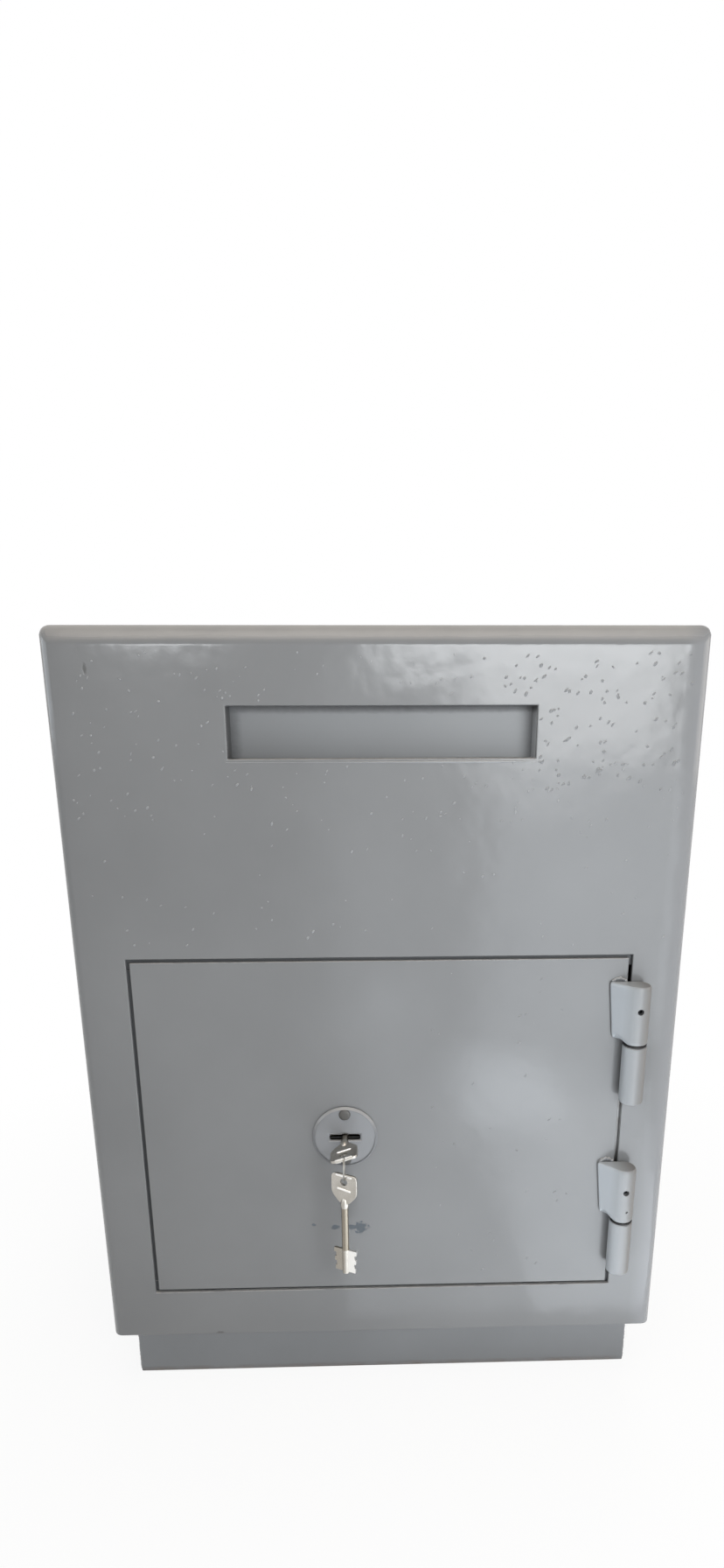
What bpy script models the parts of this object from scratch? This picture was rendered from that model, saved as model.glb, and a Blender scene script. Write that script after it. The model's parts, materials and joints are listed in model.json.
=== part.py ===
"""Key-locked steel drop box with a letterbox slot, a lower door and a plinth.

Metres, +Z up. The front faces -Y, and +X is to the right of a person who faces it. The origin is on
the floor, under the middle of the whole object with its keys.
"""
import math

import bmesh
import bpy
from mathutils import Matrix, Vector

# Clearances
GAP = 0.0003
SLIDE_GAP = 0.0005

# Cabinet
WIDTH = 0.500
DEPTH = 0.450
BODY_HEIGHT = 0.615
SHEET = 0.004
PAN_DEPTH = 0.040
TOP_BEND = 0.015
SIDE_BEND = 0.008
CORNER_BEND = 0.006
PLINTH_HEIGHT = 0.055
PLINTH_INSET = 0.017
PLINTH_SHEET = 0.004

# Door and its opening: stiles beside it, a sill under it
STILE_WIDTH = 0.0425
SILL_HEIGHT = 0.0455
DOOR_HEIGHT = 0.309
DOOR_GAP = 0.003
STOP_THICKNESS = 0.006
STOP_LAP = 0.010
STOP_SEAT = 0.015
STIFFENER_LEG = 0.025
STIFFENER_SHEET = 0.003
STIFFENER_INSET = 0.040
DOG_WIDTH = 0.034
DOG_REACH = 0.008
DOG_HEIGHT = 0.180
DOG_THICKNESS = 0.006
DOG_RELIEF = 0.001
DOG_RELIEF_INSET = 0.004

# Slot, sleeve, flap and baffle: the slot hangs from the top of the body
SLOT_WIDTH = 0.236
SLOT_HEIGHT = 0.039
SLOT_DROP = 0.058
SLOT_OFFSET = 0.002
SLEEVE_DEPTH = 0.018
SLEEVE_WALL = 0.0025
FLAP_SHEET = 0.0025
FLAP_LAP = 0.006
FLAP_ROD_RADIUS = 0.003
FLAP_ROD_RISE = 0.012
FLAP_CURL_WALL = 0.002
FLAP_END_GAP = 0.0008
BRACKET_SHEET = 0.003
BRACKET_MARGIN = 0.008
ROD_STUB = 0.003
BAFFLE_SHEET = 0.003
BAFFLE_DROP = 0.045
BAFFLE_SETBACK = 0.012
BAFFLE_LENGTH = 0.300
BAFFLE_SLOPE = math.radians(14)

# Hinges, spaced about the middle of the door
HINGE_RADIUS = 0.010
HINGE_STANDOFF = 0.0005
HINGE_SETOUT = 0.0065
HINGE_HALF_LENGTH = 0.052
HINGE_SPACING = 0.166
HINGE_PIN_RADIUS = 0.005
HINGE_CAP = 0.006
WASHER_THICKNESS = 0.0012
LEAF_REACH = 0.0105
LEAF_SHEET = 0.004
FILLET_REACH = 0.004
FILLET_ANGLE = 205
WELD_FOOT_REACH = 0.003
WELD_FOOT_HEIGHT = 0.005
GREASE_HOLE_RADIUS = 0.002
GREASE_HOLE_RISE = 0.031

# Keys and ring
KEY_LENGTH = 0.094
KEY_PROUD = 0.042
KEY_SHEET = 0.0024
KEY_STEM_WIDTH = 0.0036
KEY_REST_TURN = math.radians(15)
SPARE_REST_TURN = math.radians(25)
BOW_LENGTH = 0.028
BOW_WIDTH = 0.0235
BOW_SHOULDER = 0.017
BOW_NECK = 0.008
BOW_ROUND = 0.004
BOW_RIM = 0.003
SHAFT_RADIUS = 0.003
BIT_LENGTH = 0.021
BIT_WIDTH = 0.021
BIT_TIP = 0.002
BIT_STEP_DEPTH = 0.0022
BIT_STEPS = 3
RING_RADIUS = 0.010
RING_WIRE_RADIUS = 0.0008

# Lock, placed from the middle of the door
LOCK_OFFSET = -0.0325
LOCK_DROP = 0.003
ESCUTCHEON_RADIUS = 0.0275
ESCUTCHEON_SHEET = 0.002
ESCUTCHEON_CHAMFER = 0.0005
KEYHOLE_SIDE_PLAY = 0.00275
KEYHOLE_PLAY = 0.0031
KEYHOLE_ROUND_PLAY = 0.0008
KEYHOLE_MARGIN = 0.0018
RIVET_HEAD_RADIUS = 0.005
RIVET_HEAD_HEIGHT = 0.0012
RIVET_SHANK_RADIUS = 0.002
RIVET_INSET = 0.0061
CASE_WALL = 0.0025
COVER_SHEET = 0.003
KEY_TIP_ROOM = 0.002
SCREW_RADIUS = 0.002
SCREW_HEAD_RADIUS = 0.0038
SCREW_HEAD_HEIGHT = 0.0028
SCREW_INSET = 0.007
SCREW_BITE = 0.0024
LEVER_COUNT = 4
LEVER_SHEET = 0.0022
LEVER_HEIGHT = 0.009
LEVER_LENGTH = 0.052
LEVER_BITE = 0.0025
LEVER_POST_RADIUS = 0.003
LEVER_POST_OFFSET = 0.026
LEVER_END_ROOM = 0.0085
LEVER_POST_ROOM = 0.004
LEVER_DROP_ROOM = 0.0145
BOLT_HEIGHT = 0.014
BOLT_THICKNESS = 0.010
BOLT_BACKSET = 0.005
BOLT_TAIL = 0.020
BOLT_CLEARANCE = 0.0008
BOLT_HEADROOM = 0.0102
TALON_WIDTH = 0.007
TALON_DEPTH = 0.004
TALON_OFFSET = 0.008
GUIDE_LENGTH = 0.016
GUIDE_SHEET = 0.0025
GUIDE_FOOT = 0.010
GUIDE_SETBACK = 0.020
KEEPER_SHEET = 0.004
KEEPER_HEIGHT = 0.050
KEEPER_SETBACK = 0.0015
KEEPER_SEAT = 0.018
KEEPER_OVERHANG = 0.008
KEEPER_PLAY = 0.002

# Roundness of turned shapes and arcs
SIDES = 24
SMALL_SIDES = 12
WIRE_SIDES = 8
ARC_STEPS = 5
DOME_ANGLES = (75, 50, 25, 0)
CUT_MARGIN = 0.002
PARALLEL = 0.9

# Cabinet places
HALF_WIDTH = WIDTH / 2
INSIDE_HALF_WIDTH = HALF_WIDTH - SHEET
BODY_BOTTOM = PLINTH_HEIGHT
BODY_TOP = BODY_BOTTOM + BODY_HEIGHT
RING_REACH = KEY_PROUD - BOW_RIM / 2 + RING_RADIUS + RING_WIRE_RADIUS
FRONT = (RING_REACH - DEPTH) / 2
BACK = FRONT + DEPTH
PANEL_BACK = FRONT + SHEET

# Door places
OPENING_HALF = HALF_WIDTH - STILE_WIDTH
OPENING_BOTTOM = BODY_BOTTOM + SILL_HEIGHT
DOOR_HALF = OPENING_HALF - DOOR_GAP
DOOR_BOTTOM = OPENING_BOTTOM + DOOR_GAP
DOOR_TOP = DOOR_BOTTOM + DOOR_HEIGHT
DOOR_MIDDLE = (DOOR_BOTTOM + DOOR_TOP) / 2
OPENING_TOP = DOOR_TOP + DOOR_GAP
DOOR_BACK = PANEL_BACK + GAP
STOP_FRONT = PANEL_BACK + GAP
STOP_BACK = STOP_FRONT + STOP_THICKNESS
STOP_EDGE = -OPENING_HALF + STOP_LAP

# Slot places
SLOT_LEFT = SLOT_OFFSET - SLOT_WIDTH / 2
SLOT_RIGHT = SLOT_OFFSET + SLOT_WIDTH / 2
SLOT_TOP = BODY_TOP - SLOT_DROP
SLOT_BOTTOM = SLOT_TOP - SLOT_HEIGHT
SLEEVE_FRONT = PANEL_BACK + GAP
SLEEVE_BACK = SLEEVE_FRONT + SLEEVE_DEPTH
FLAP_FRONT = SLEEVE_BACK + GAP
FLAP_BACK = FLAP_FRONT + FLAP_SHEET
FLAP_CURL_RADIUS = FLAP_ROD_RADIUS + GAP + FLAP_CURL_WALL
FLAP_PIVOT = Vector((SLOT_OFFSET, FLAP_BACK - FLAP_CURL_RADIUS, SLOT_TOP + FLAP_ROD_RISE))
FLAP_HALF = SLOT_WIDTH / 2 + FLAP_LAP

# Hinge places
HINGE_X = DOOR_HALF + HINGE_SETOUT
HINGE_Y = FRONT - HINGE_STANDOFF - HINGE_RADIUS
HINGE_JOINTS = {"upper": DOOR_MIDDLE + HINGE_SPACING / 2, "lower": DOOR_MIDDLE - HINGE_SPACING / 2}

# Lock places
LOCK_X = LOCK_OFFSET
LOCK_Z = DOOR_MIDDLE - LOCK_DROP
LOCK_AXIS = Vector((LOCK_X, FRONT, LOCK_Z))
RIVET_OFFSET = ESCUTCHEON_RADIUS - RIVET_INSET
RIVET_HEIGHTS = {"top": LOCK_Z + RIVET_OFFSET, "bottom": LOCK_Z - RIVET_OFFSET}
KEY_TIP = FRONT + KEY_LENGTH - KEY_PROUD
BIT_BACK = KEY_TIP - BIT_TIP
BIT_FRONT = BIT_BACK - BIT_LENGTH
BIT_MIDDLE = (BIT_FRONT + BIT_BACK) / 2
BOLT_FRONT = BIT_MIDDLE - BOLT_THICKNESS / 2
BOLT_BACK = BIT_MIDDLE + BOLT_THICKNESS / 2
BOLT_BOTTOM = LOCK_Z + BIT_WIDTH / 2 + BOLT_CLEARANCE
BOLT_TOP = BOLT_BOTTOM + BOLT_HEIGHT
BOLT_END = STOP_EDGE + BOLT_BACKSET
LEVER_TOP = LOCK_Z - BIT_WIDTH / 2 + LEVER_BITE
LEVER_BOTTOM = LEVER_TOP - LEVER_HEIGHT
LEVER_PIVOT = Vector((LOCK_X + LEVER_POST_OFFSET, BIT_MIDDLE, (LEVER_TOP + LEVER_BOTTOM) / 2))
LEVER_END = LEVER_PIVOT.x - LEVER_LENGTH
CASE_LEFT = LEVER_END - LEVER_END_ROOM - CASE_WALL
CASE_RIGHT = LEVER_PIVOT.x + LEVER_HEIGHT / 2 + LEVER_POST_ROOM + CASE_WALL
CASE_BOTTOM = LEVER_BOTTOM - LEVER_DROP_ROOM - CASE_WALL
CASE_TOP = BOLT_TOP + BOLT_HEADROOM + CASE_WALL
CASE_FRONT = DOOR_BACK
CASE_BACK = KEY_TIP + KEY_TIP_ROOM
COVER_FRONT = CASE_BACK + GAP
COVER_BACK = COVER_FRONT + COVER_SHEET
SCREW_PLACES = {
    "top_left": (CASE_LEFT + SCREW_INSET, CASE_TOP - SCREW_INSET),
    "top_right": (CASE_RIGHT - SCREW_INSET, CASE_TOP - SCREW_INSET),
    "bottom_left": (CASE_LEFT + SCREW_INSET, CASE_BOTTOM + SCREW_INSET),
    "bottom_right": (CASE_RIGHT - SCREW_INSET, CASE_BOTTOM + SCREW_INSET),
}

# Ring places: the ring hangs on the rim at the end of the bow and passes through the bow's hole
RIM_Y = FRONT - KEY_PROUD + BOW_RIM / 2
RIM_HALF_HEIGHT = KEY_SHEET / 2 / math.cos(KEY_REST_TURN)
RING_INSIDE = RING_RADIUS - RING_WIRE_RADIUS - GAP
RING_DROP = math.sqrt(RING_INSIDE ** 2 - (BOW_RIM / 2) ** 2) - RIM_HALF_HEIGHT
RING_CROSSING = math.sqrt(RING_RADIUS ** 2 - (RING_DROP - RIM_HALF_HEIGHT) ** 2)
RING_SPREAD = RING_WIRE_RADIUS * RING_RADIUS / RING_CROSSING
BOW_HOLE_RADIUS = (RING_CROSSING + RING_SPREAD + SLIDE_GAP - BOW_RIM / 2) / 2
RING_CENTRE = Vector((LOCK_X, RIM_Y, LOCK_Z - RING_DROP))
SPARE_PIVOT = RING_CENTRE - Vector((0, 0, RING_RADIUS))
SPARE_TOP = SPARE_PIVOT.z + RING_WIRE_RADIUS + GAP + BOW_RIM


def clear_scene():
    """Remove every object, so that the script can run again in one session."""
    for old in list(bpy.data.objects):
        bpy.data.objects.remove(old, do_unlink=True)


def finish(name, colour, roughness, metallic=0.0):
    """Return a Principled material."""
    made = bpy.data.materials.new(name)
    made.use_nodes = True
    shader = made.node_tree.nodes["Principled BSDF"]
    shader.inputs["Base Color"].default_value = (*colour, 1.0)
    shader.inputs["Roughness"].default_value = roughness
    shader.inputs["Metallic"].default_value = metallic
    return made


def pivot(name, place, parent=None):
    """Return an empty at a world place, carried by its parent empty."""
    made = bpy.data.objects.new(name, None)
    bpy.context.collection.objects.link(made)
    made.parent = parent
    made.location = Vector(place) - (world_place(parent) if parent else Vector())
    return made


def world_place(empty):
    """Return the world place of an unturned pivot."""
    place = Vector(empty.location)
    while empty.parent:
        empty = empty.parent
        place += empty.location
    return place


def solid(name, mesh, material, carrier):
    """Make a named object of a mesh in world coordinates, with its origin at the pivot that carries it."""
    bmesh.ops.recalc_face_normals(mesh, faces=mesh.faces)
    bmesh.ops.translate(mesh, verts=mesh.verts, vec=-world_place(carrier))
    data = bpy.data.meshes.new(name)
    mesh.to_mesh(data)
    mesh.free()
    made = bpy.data.objects.new(name, data)
    bpy.context.collection.objects.link(made)
    made.parent = carrier
    if material:
        data.materials.append(material)
        data.shade_smooth()
        data.set_sharp_from_angle(angle=math.radians(30))
    return made


def carve(target, mesh, operation="DIFFERENCE"):
    """Cut a mesh given in world coordinates out of an object, or join the two."""
    tool = solid(target.name + "_tool", mesh, None, target.parent)
    tool.hide_render = True
    tool.display_type = "WIRE"
    step = target.modifiers.new(operation.lower(), "BOOLEAN")
    step.operation = operation
    step.object = tool
    return tool


def block(low, high):
    """Return a box between two corners."""
    mesh = bmesh.new()
    bmesh.ops.create_cube(mesh, size=1.0)
    low, high = Vector(low), Vector(high)
    size = high - low
    bmesh.ops.scale(mesh, verts=mesh.verts, vec=size)
    bmesh.ops.translate(mesh, verts=mesh.verts, vec=(low + high) / 2)
    return mesh


def arc(centre, radius, start, stop, steps=ARC_STEPS):
    """Return points on an arc, with its angles in degrees."""
    angles = [math.radians(start + (stop - start) * i / steps) for i in range(steps + 1)]
    return [(centre[0] + radius * math.cos(a), centre[1] + radius * math.sin(a)) for a in angles]


def circle(centre, radius, sides=SIDES):
    """Return the corners of a round outline."""
    return arc(centre, radius, 0, 360, sides)[:-1]


def prism(outline, axis, low, high):
    """Extrude an outline along X, Y or Z; its points hold the other two coordinates in X, Y, Z order."""
    mesh = bmesh.new()
    index = "XYZ".index(axis)

    def corner(point, along):
        place = list(point)
        place.insert(index, along)
        return mesh.verts.new(place)

    first = [corner(point, low) for point in outline]
    second = [corner(point, high) for point in outline]
    mesh.faces.new(first)
    mesh.faces.new(second)
    for i in range(len(outline)):
        j = (i + 1) % len(outline)
        mesh.faces.new((first[i], first[j], second[j], second[i]))
    return mesh


def rod(centre, axis, radius, low, high, sides=SIDES):
    """Return a round bar along X, Y or Z."""
    return prism(circle(centre, radius, sides), axis, low, high)


def turned(centre, profile, sides=SIDES):
    """Turn a profile of (radius, y) pairs about a line along Y through centre, an (x, z) pair."""
    mesh = bmesh.new()
    rings = [
        [mesh.verts.new((x, y, z)) for x, z in circle(centre, radius, sides)]
        for radius, y in profile
    ]
    mesh.faces.new(rings[0])
    mesh.faces.new(rings[-1])
    for near, far in zip(rings, rings[1:]):
        for i in range(sides):
            j = (i + 1) % sides
            mesh.faces.new((near[i], near[j], far[j], far[i]))
    return mesh


def merged(*meshes):
    """Return one mesh with the separate bodies of several."""
    whole = bmesh.new()
    for mesh in meshes:
        data = bpy.data.meshes.new("merged")
        bmesh.ops.recalc_face_normals(mesh, faces=mesh.faces)
        mesh.to_mesh(data)
        mesh.free()
        whole.from_mesh(data)
        bpy.data.meshes.remove(data)
    return whole


def round_edges(made, widest, weights):
    """Bevel chosen edges of a box; weights hold (test of an edge's middle and direction, radius) pairs."""
    mesh = bmesh.new()
    mesh.from_mesh(made.data)
    layer = mesh.edges.layers.float.new("bevel_weight_edge")
    for edge in mesh.edges:
        middle = (edge.verts[0].co + edge.verts[1].co) / 2
        along = (edge.verts[0].co - edge.verts[1].co).normalized()
        for test, radius in weights:
            if test(middle, along):
                edge[layer] = radius / widest
    mesh.to_mesh(made.data)
    mesh.free()
    step = made.modifiers.new("bends", "BEVEL")
    step.limit_method = "WEIGHT"
    step.width = widest
    step.segments = ARC_STEPS


def pan_box(name, material, carrier, inset, back, bottom):
    """Return the front pan's outer shape, or its inside when inset by the sheet."""
    half = HALF_WIDTH - inset
    front = FRONT + inset
    top = BODY_TOP - inset
    made = solid(name, block((-half, front, bottom), (half, back, top)), material, carrier)

    def top_front(middle, along):
        return abs(along.x) > PARALLEL and middle.y < (front + back) / 2 and middle.z > (bottom + top) / 2

    def upright_front(middle, along):
        return abs(along.z) > PARALLEL and middle.y < (front + back) / 2

    def top_side(middle, along):
        return abs(along.y) > PARALLEL and middle.z > (bottom + top) / 2

    round_edges(made, TOP_BEND - inset, (
        (top_front, TOP_BEND - inset),
        (upright_front, SIDE_BEND - inset),
        (top_side, CORNER_BEND - inset),
    ))
    return made


def front_panel(paint, cabinet):
    """Make the seamless front, bent back at the top and the sides, with its two openings."""
    panel = pan_box("front_panel", paint, cabinet, 0.0, FRONT + PAN_DEPTH, BODY_BOTTOM)
    hollow = pan_box("front_panel_hollow", None, cabinet, SHEET, FRONT + PAN_DEPTH + CUT_MARGIN,
                     BODY_BOTTOM - CUT_MARGIN)
    hollow.hide_render = True
    hollow.display_type = "WIRE"
    step = panel.modifiers.new("hollow", "BOOLEAN")
    step.object = hollow
    near, far = FRONT - CUT_MARGIN, PANEL_BACK + CUT_MARGIN
    carve(panel, block((SLOT_LEFT, near, SLOT_BOTTOM), (SLOT_RIGHT, far, SLOT_TOP)))
    carve(panel, block((-OPENING_HALF, near, OPENING_BOTTOM), (OPENING_HALF, far, OPENING_TOP)))


def casing(paint, cabinet):
    """Make the folded wrap of sides and top, the back panel and the floor plate."""
    outer_bend, inner_bend = CORNER_BEND, CORNER_BEND - SHEET
    bend_x, bend_z = HALF_WIDTH - CORNER_BEND, BODY_TOP - CORNER_BEND
    outline = [(HALF_WIDTH, BODY_BOTTOM)]
    outline += arc((bend_x, bend_z), outer_bend, 0, 90)
    outline += arc((-bend_x, bend_z), outer_bend, 90, 180)
    outline += [(-HALF_WIDTH, BODY_BOTTOM), (-INSIDE_HALF_WIDTH, BODY_BOTTOM)]
    outline += arc((-bend_x, bend_z), inner_bend, 180, 90)
    outline += arc((bend_x, bend_z), inner_bend, 90, 0)
    outline += [(INSIDE_HALF_WIDTH, BODY_BOTTOM)]
    solid("body_wrap", prism(outline, "Y", FRONT + PAN_DEPTH + GAP, BACK), paint, cabinet)

    inner = INSIDE_HALF_WIDTH - GAP
    front, corner = PANEL_BACK + GAP, SIDE_BEND - SHEET
    outline = [(inner, BACK), (-inner, BACK)]
    outline += arc((-inner + corner, front + corner), corner, 180, 270)
    outline += arc((inner - corner, front + corner), corner, 270, 360)
    solid("floor_plate", prism(outline, "Z", BODY_BOTTOM, BODY_BOTTOM + SHEET), paint, cabinet)
    low, high = BODY_BOTTOM + SHEET + GAP, BODY_TOP - SHEET - GAP
    corner = inner_bend
    corner_x, corner_z = inner - corner, high - corner
    outline = [(-inner, low), (inner, low)]
    outline += arc((corner_x, corner_z), corner, 0, 90)
    outline += arc((-corner_x, corner_z), corner, 90, 180)
    solid("back_panel", prism(outline, "Y", BACK - SHEET, BACK), paint, cabinet)


def plinth(paint, cabinet):
    """Make the four rails that the body stands on."""
    half = HALF_WIDTH - PLINTH_INSET
    front, back = FRONT + PLINTH_INSET, BACK - PLINTH_INSET
    top = BODY_BOTTOM - GAP
    solid("plinth_front", block((-half, front, 0), (half, front + PLINTH_SHEET, top)), paint, cabinet)
    solid("plinth_rear", block((-half, back - PLINTH_SHEET, 0), (half, back, top)), paint, cabinet)
    near, far = front + PLINTH_SHEET + GAP, back - PLINTH_SHEET - GAP
    solid("plinth_left", block((-half, near, 0), (-half + PLINTH_SHEET, far, top)), paint, cabinet)
    solid("plinth_right", block((half - PLINTH_SHEET, near, 0), (half, far, top)), paint, cabinet)


def door_stops(paint, steel, cabinet):
    """Make the bars behind the door's edges and the keeper that the bolt shoots into."""
    left, right = -OPENING_HALF - STOP_SEAT, OPENING_HALF + STOP_SEAT
    for name, edge, inward in (("top", OPENING_TOP, -1), ("bottom", OPENING_BOTTOM, 1)):
        ends = sorted((edge + inward * STOP_LAP, edge - inward * STOP_SEAT))
        bar = block((left, STOP_FRONT, ends[0]), (right, STOP_BACK, ends[1]))
        solid("door_stop_" + name, bar, paint, cabinet)
    low, high = OPENING_BOTTOM + STOP_LAP + GAP, OPENING_TOP - STOP_LAP - GAP
    solid("door_stop_left", block((left, STOP_FRONT, low), (STOP_EDGE, STOP_BACK, high)), paint, cabinet)

    seat, face = STOP_BACK + GAP, STOP_EDGE - KEEPER_SETBACK
    back = BOLT_BACK + KEEPER_OVERHANG
    rear, foot = face - KEEPER_SHEET, seat + KEEPER_SHEET
    outline = [(face, seat), (face, back), (rear, back), (rear, foot), (face - KEEPER_SEAT, foot),
               (face - KEEPER_SEAT, seat)]
    middle = (BOLT_BOTTOM + BOLT_TOP) / 2
    keeper = solid("bolt_keeper", prism(outline, "Z", middle - KEEPER_HEIGHT / 2, middle + KEEPER_HEIGHT / 2),
                   steel, cabinet)
    carve(keeper, block((rear - CUT_MARGIN, BOLT_FRONT - KEEPER_PLAY, BOLT_BOTTOM - KEEPER_PLAY),
                        (face + CUT_MARGIN, BOLT_BACK + KEEPER_PLAY, BOLT_TOP + KEEPER_PLAY)))


def slot_sleeve(paint, cabinet):
    """Make the short walls behind the slot."""
    wall = SLEEVE_WALL
    sleeve = solid("slot_sleeve", block((SLOT_LEFT - wall, SLEEVE_FRONT, SLOT_BOTTOM - wall),
                                        (SLOT_RIGHT + wall, SLEEVE_BACK, SLOT_TOP + wall)), paint, cabinet)
    carve(sleeve, block((SLOT_LEFT, SLEEVE_FRONT - CUT_MARGIN, SLOT_BOTTOM),
                        (SLOT_RIGHT, SLEEVE_BACK + CUT_MARGIN, SLOT_TOP)))


def slot_flap(paint, steel, cabinet, flap_pivot):
    """Make the flap with its top edge curled forwards, the rod it hangs on and the rod's two brackets."""
    centre = (FLAP_PIVOT.y, FLAP_PIVOT.z)
    bottom = SLOT_BOTTOM - FLAP_LAP
    meet = 360 - math.degrees(math.acos((FLAP_CURL_RADIUS - FLAP_SHEET) / FLAP_CURL_RADIUS))
    outline = [(FLAP_BACK, bottom)]
    outline += arc(centre, FLAP_CURL_RADIUS, 0, meet, SIDES)
    outline += [(FLAP_FRONT, bottom)]
    left, right = SLOT_OFFSET - FLAP_HALF, SLOT_OFFSET + FLAP_HALF
    flap = solid("slot_flap", prism(outline, "X", left, right), paint, flap_pivot)
    carve(flap, rod(centre, "X", FLAP_ROD_RADIUS + GAP, left - CUT_MARGIN, right + CUT_MARGIN))

    low_z, high_z = centre[1] - BRACKET_MARGIN, centre[1] + BRACKET_MARGIN
    for side, start in (("left", left - FLAP_END_GAP - BRACKET_SHEET), ("right", right + FLAP_END_GAP)):
        stop = start + BRACKET_SHEET
        plate = block((start, PANEL_BACK + GAP, low_z), (stop, centre[0] + BRACKET_MARGIN, high_z))
        bracket = solid("flap_bracket_" + side, plate, paint, cabinet)
        carve(bracket, rod(centre, "X", FLAP_ROD_RADIUS + GAP, start - CUT_MARGIN, stop + CUT_MARGIN))
    overhang = FLAP_END_GAP + BRACKET_SHEET + ROD_STUB
    solid("flap_rod", rod(centre, "X", FLAP_ROD_RADIUS, left - overhang, right + overhang), steel, cabinet)


def deposit_baffle(paint, cabinet):
    """Make the sloping plate under the slot, from wall to wall."""
    inner = INSIDE_HALF_WIDTH - GAP
    start = Vector((0, PANEL_BACK + BAFFLE_SETBACK, SLOT_BOTTOM - BAFFLE_DROP))
    mesh = block((-inner, 0, -BAFFLE_SHEET), (inner, BAFFLE_LENGTH, 0))
    turn = Matrix.Rotation(-BAFFLE_SLOPE, 4, "X")
    bmesh.ops.transform(mesh, matrix=Matrix.Translation(start) @ turn, verts=mesh.verts)
    solid("deposit_baffle", mesh, paint, cabinet)


def hinges(paint, steel, brass, cabinet, door):
    """Make two lift-off hinges: a knuckle on the frame, a pin, a washer and a leafed knuckle on the door."""
    centre = (HINGE_X, HINGE_Y)
    leaf_back = FRONT - GAP
    leaf_front = leaf_back - LEAF_SHEET
    leaf_end = HINGE_X - HINGE_RADIUS - LEAF_REACH
    bore = HINGE_PIN_RADIUS + GAP
    for name, joint in HINGE_JOINTS.items():
        bottom, top = joint - HINGE_HALF_LENGTH, joint + HINGE_HALF_LENGTH
        washer_low = joint - WASHER_THICKNESS / 2
        washer_high = joint + WASHER_THICKNESS / 2
        knuckle_top, knuckle_low = washer_low - GAP, washer_high + GAP

        outline = arc(centre, HINGE_RADIUS, 90, 360, SIDES)
        outline += [(HINGE_X + HINGE_RADIUS, leaf_back - WELD_FOOT_HEIGHT),
                    (HINGE_X + HINGE_RADIUS + WELD_FOOT_REACH, leaf_back), (HINGE_X, leaf_back)]
        knuckle = prism(outline, "Z", bottom, knuckle_top)
        frame = solid("hinge_%s_frame_knuckle" % name, knuckle, paint, cabinet)
        carve(frame, rod(centre, "Z", bore, bottom + HINGE_CAP, knuckle_top + CUT_MARGIN))

        outline = [(leaf_end, leaf_front), (leaf_end, leaf_back), (HINGE_X, leaf_back)]
        outline += arc(centre, HINGE_RADIUS, 90, FILLET_ANGLE - 360, SIDES)
        outline += [(HINGE_X - HINGE_RADIUS - FILLET_REACH, leaf_front)]
        leaf = solid("hinge_%s_door_knuckle" % name, prism(outline, "Z", knuckle_low, top), paint, door)
        carve(leaf, rod(centre, "Z", bore, knuckle_low - CUT_MARGIN, top - HINGE_CAP))
        carve(leaf, rod((HINGE_X, joint + GREASE_HOLE_RISE), "Y", GREASE_HOLE_RADIUS,
                        HINGE_Y - HINGE_RADIUS - CUT_MARGIN, HINGE_Y, SMALL_SIDES))

        solid("hinge_%s_pin" % name, rod(centre, "Z", HINGE_PIN_RADIUS, bottom + HINGE_CAP + GAP,
                                         top - HINGE_CAP - GAP), steel, cabinet)
        disc = rod(centre, "Z", HINGE_RADIUS - GAP, washer_low, washer_high)
        washer = solid("hinge_%s_washer" % name, disc, brass, cabinet)
        carve(washer, rod(centre, "Z", bore, washer_low - CUT_MARGIN, washer_high + CUT_MARGIN))


def keyhole(low, high):
    """Return a cutter for the keyhole: a level slot with a round middle."""
    half = BIT_WIDTH / 2 + KEYHOLE_SIDE_PLAY
    rise = (KEY_SHEET + KEYHOLE_PLAY) / 2
    radius = SHAFT_RADIUS + KEYHOLE_ROUND_PLAY
    reach = math.degrees(math.asin(rise / radius))
    middle = (LOCK_X, LOCK_Z)
    outline = [(LOCK_X + half, LOCK_Z - rise), (LOCK_X + half, LOCK_Z + rise)]
    outline += arc(middle, radius, reach, 180 - reach)
    outline += [(LOCK_X - half, LOCK_Z + rise), (LOCK_X - half, LOCK_Z - rise)]
    outline += arc(middle, radius, 180 + reach, 360 - reach)
    return prism(outline, "Y", low, high)


def holes(places, radius, low, high):
    """Return cutters along Y for small round holes at (x, z) places."""
    return [rod(place, "Y", radius, low, high, SMALL_SIDES) for place in places]


def dome(radius, height, seat, outward):
    """Return a low dome's profile from its crown to its seat; outward is the sign of Y that it faces."""
    angles = [math.radians(angle) for angle in DOME_ANGLES]
    return [(radius * math.cos(a), seat + outward * height * math.sin(a)) for a in angles]


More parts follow.
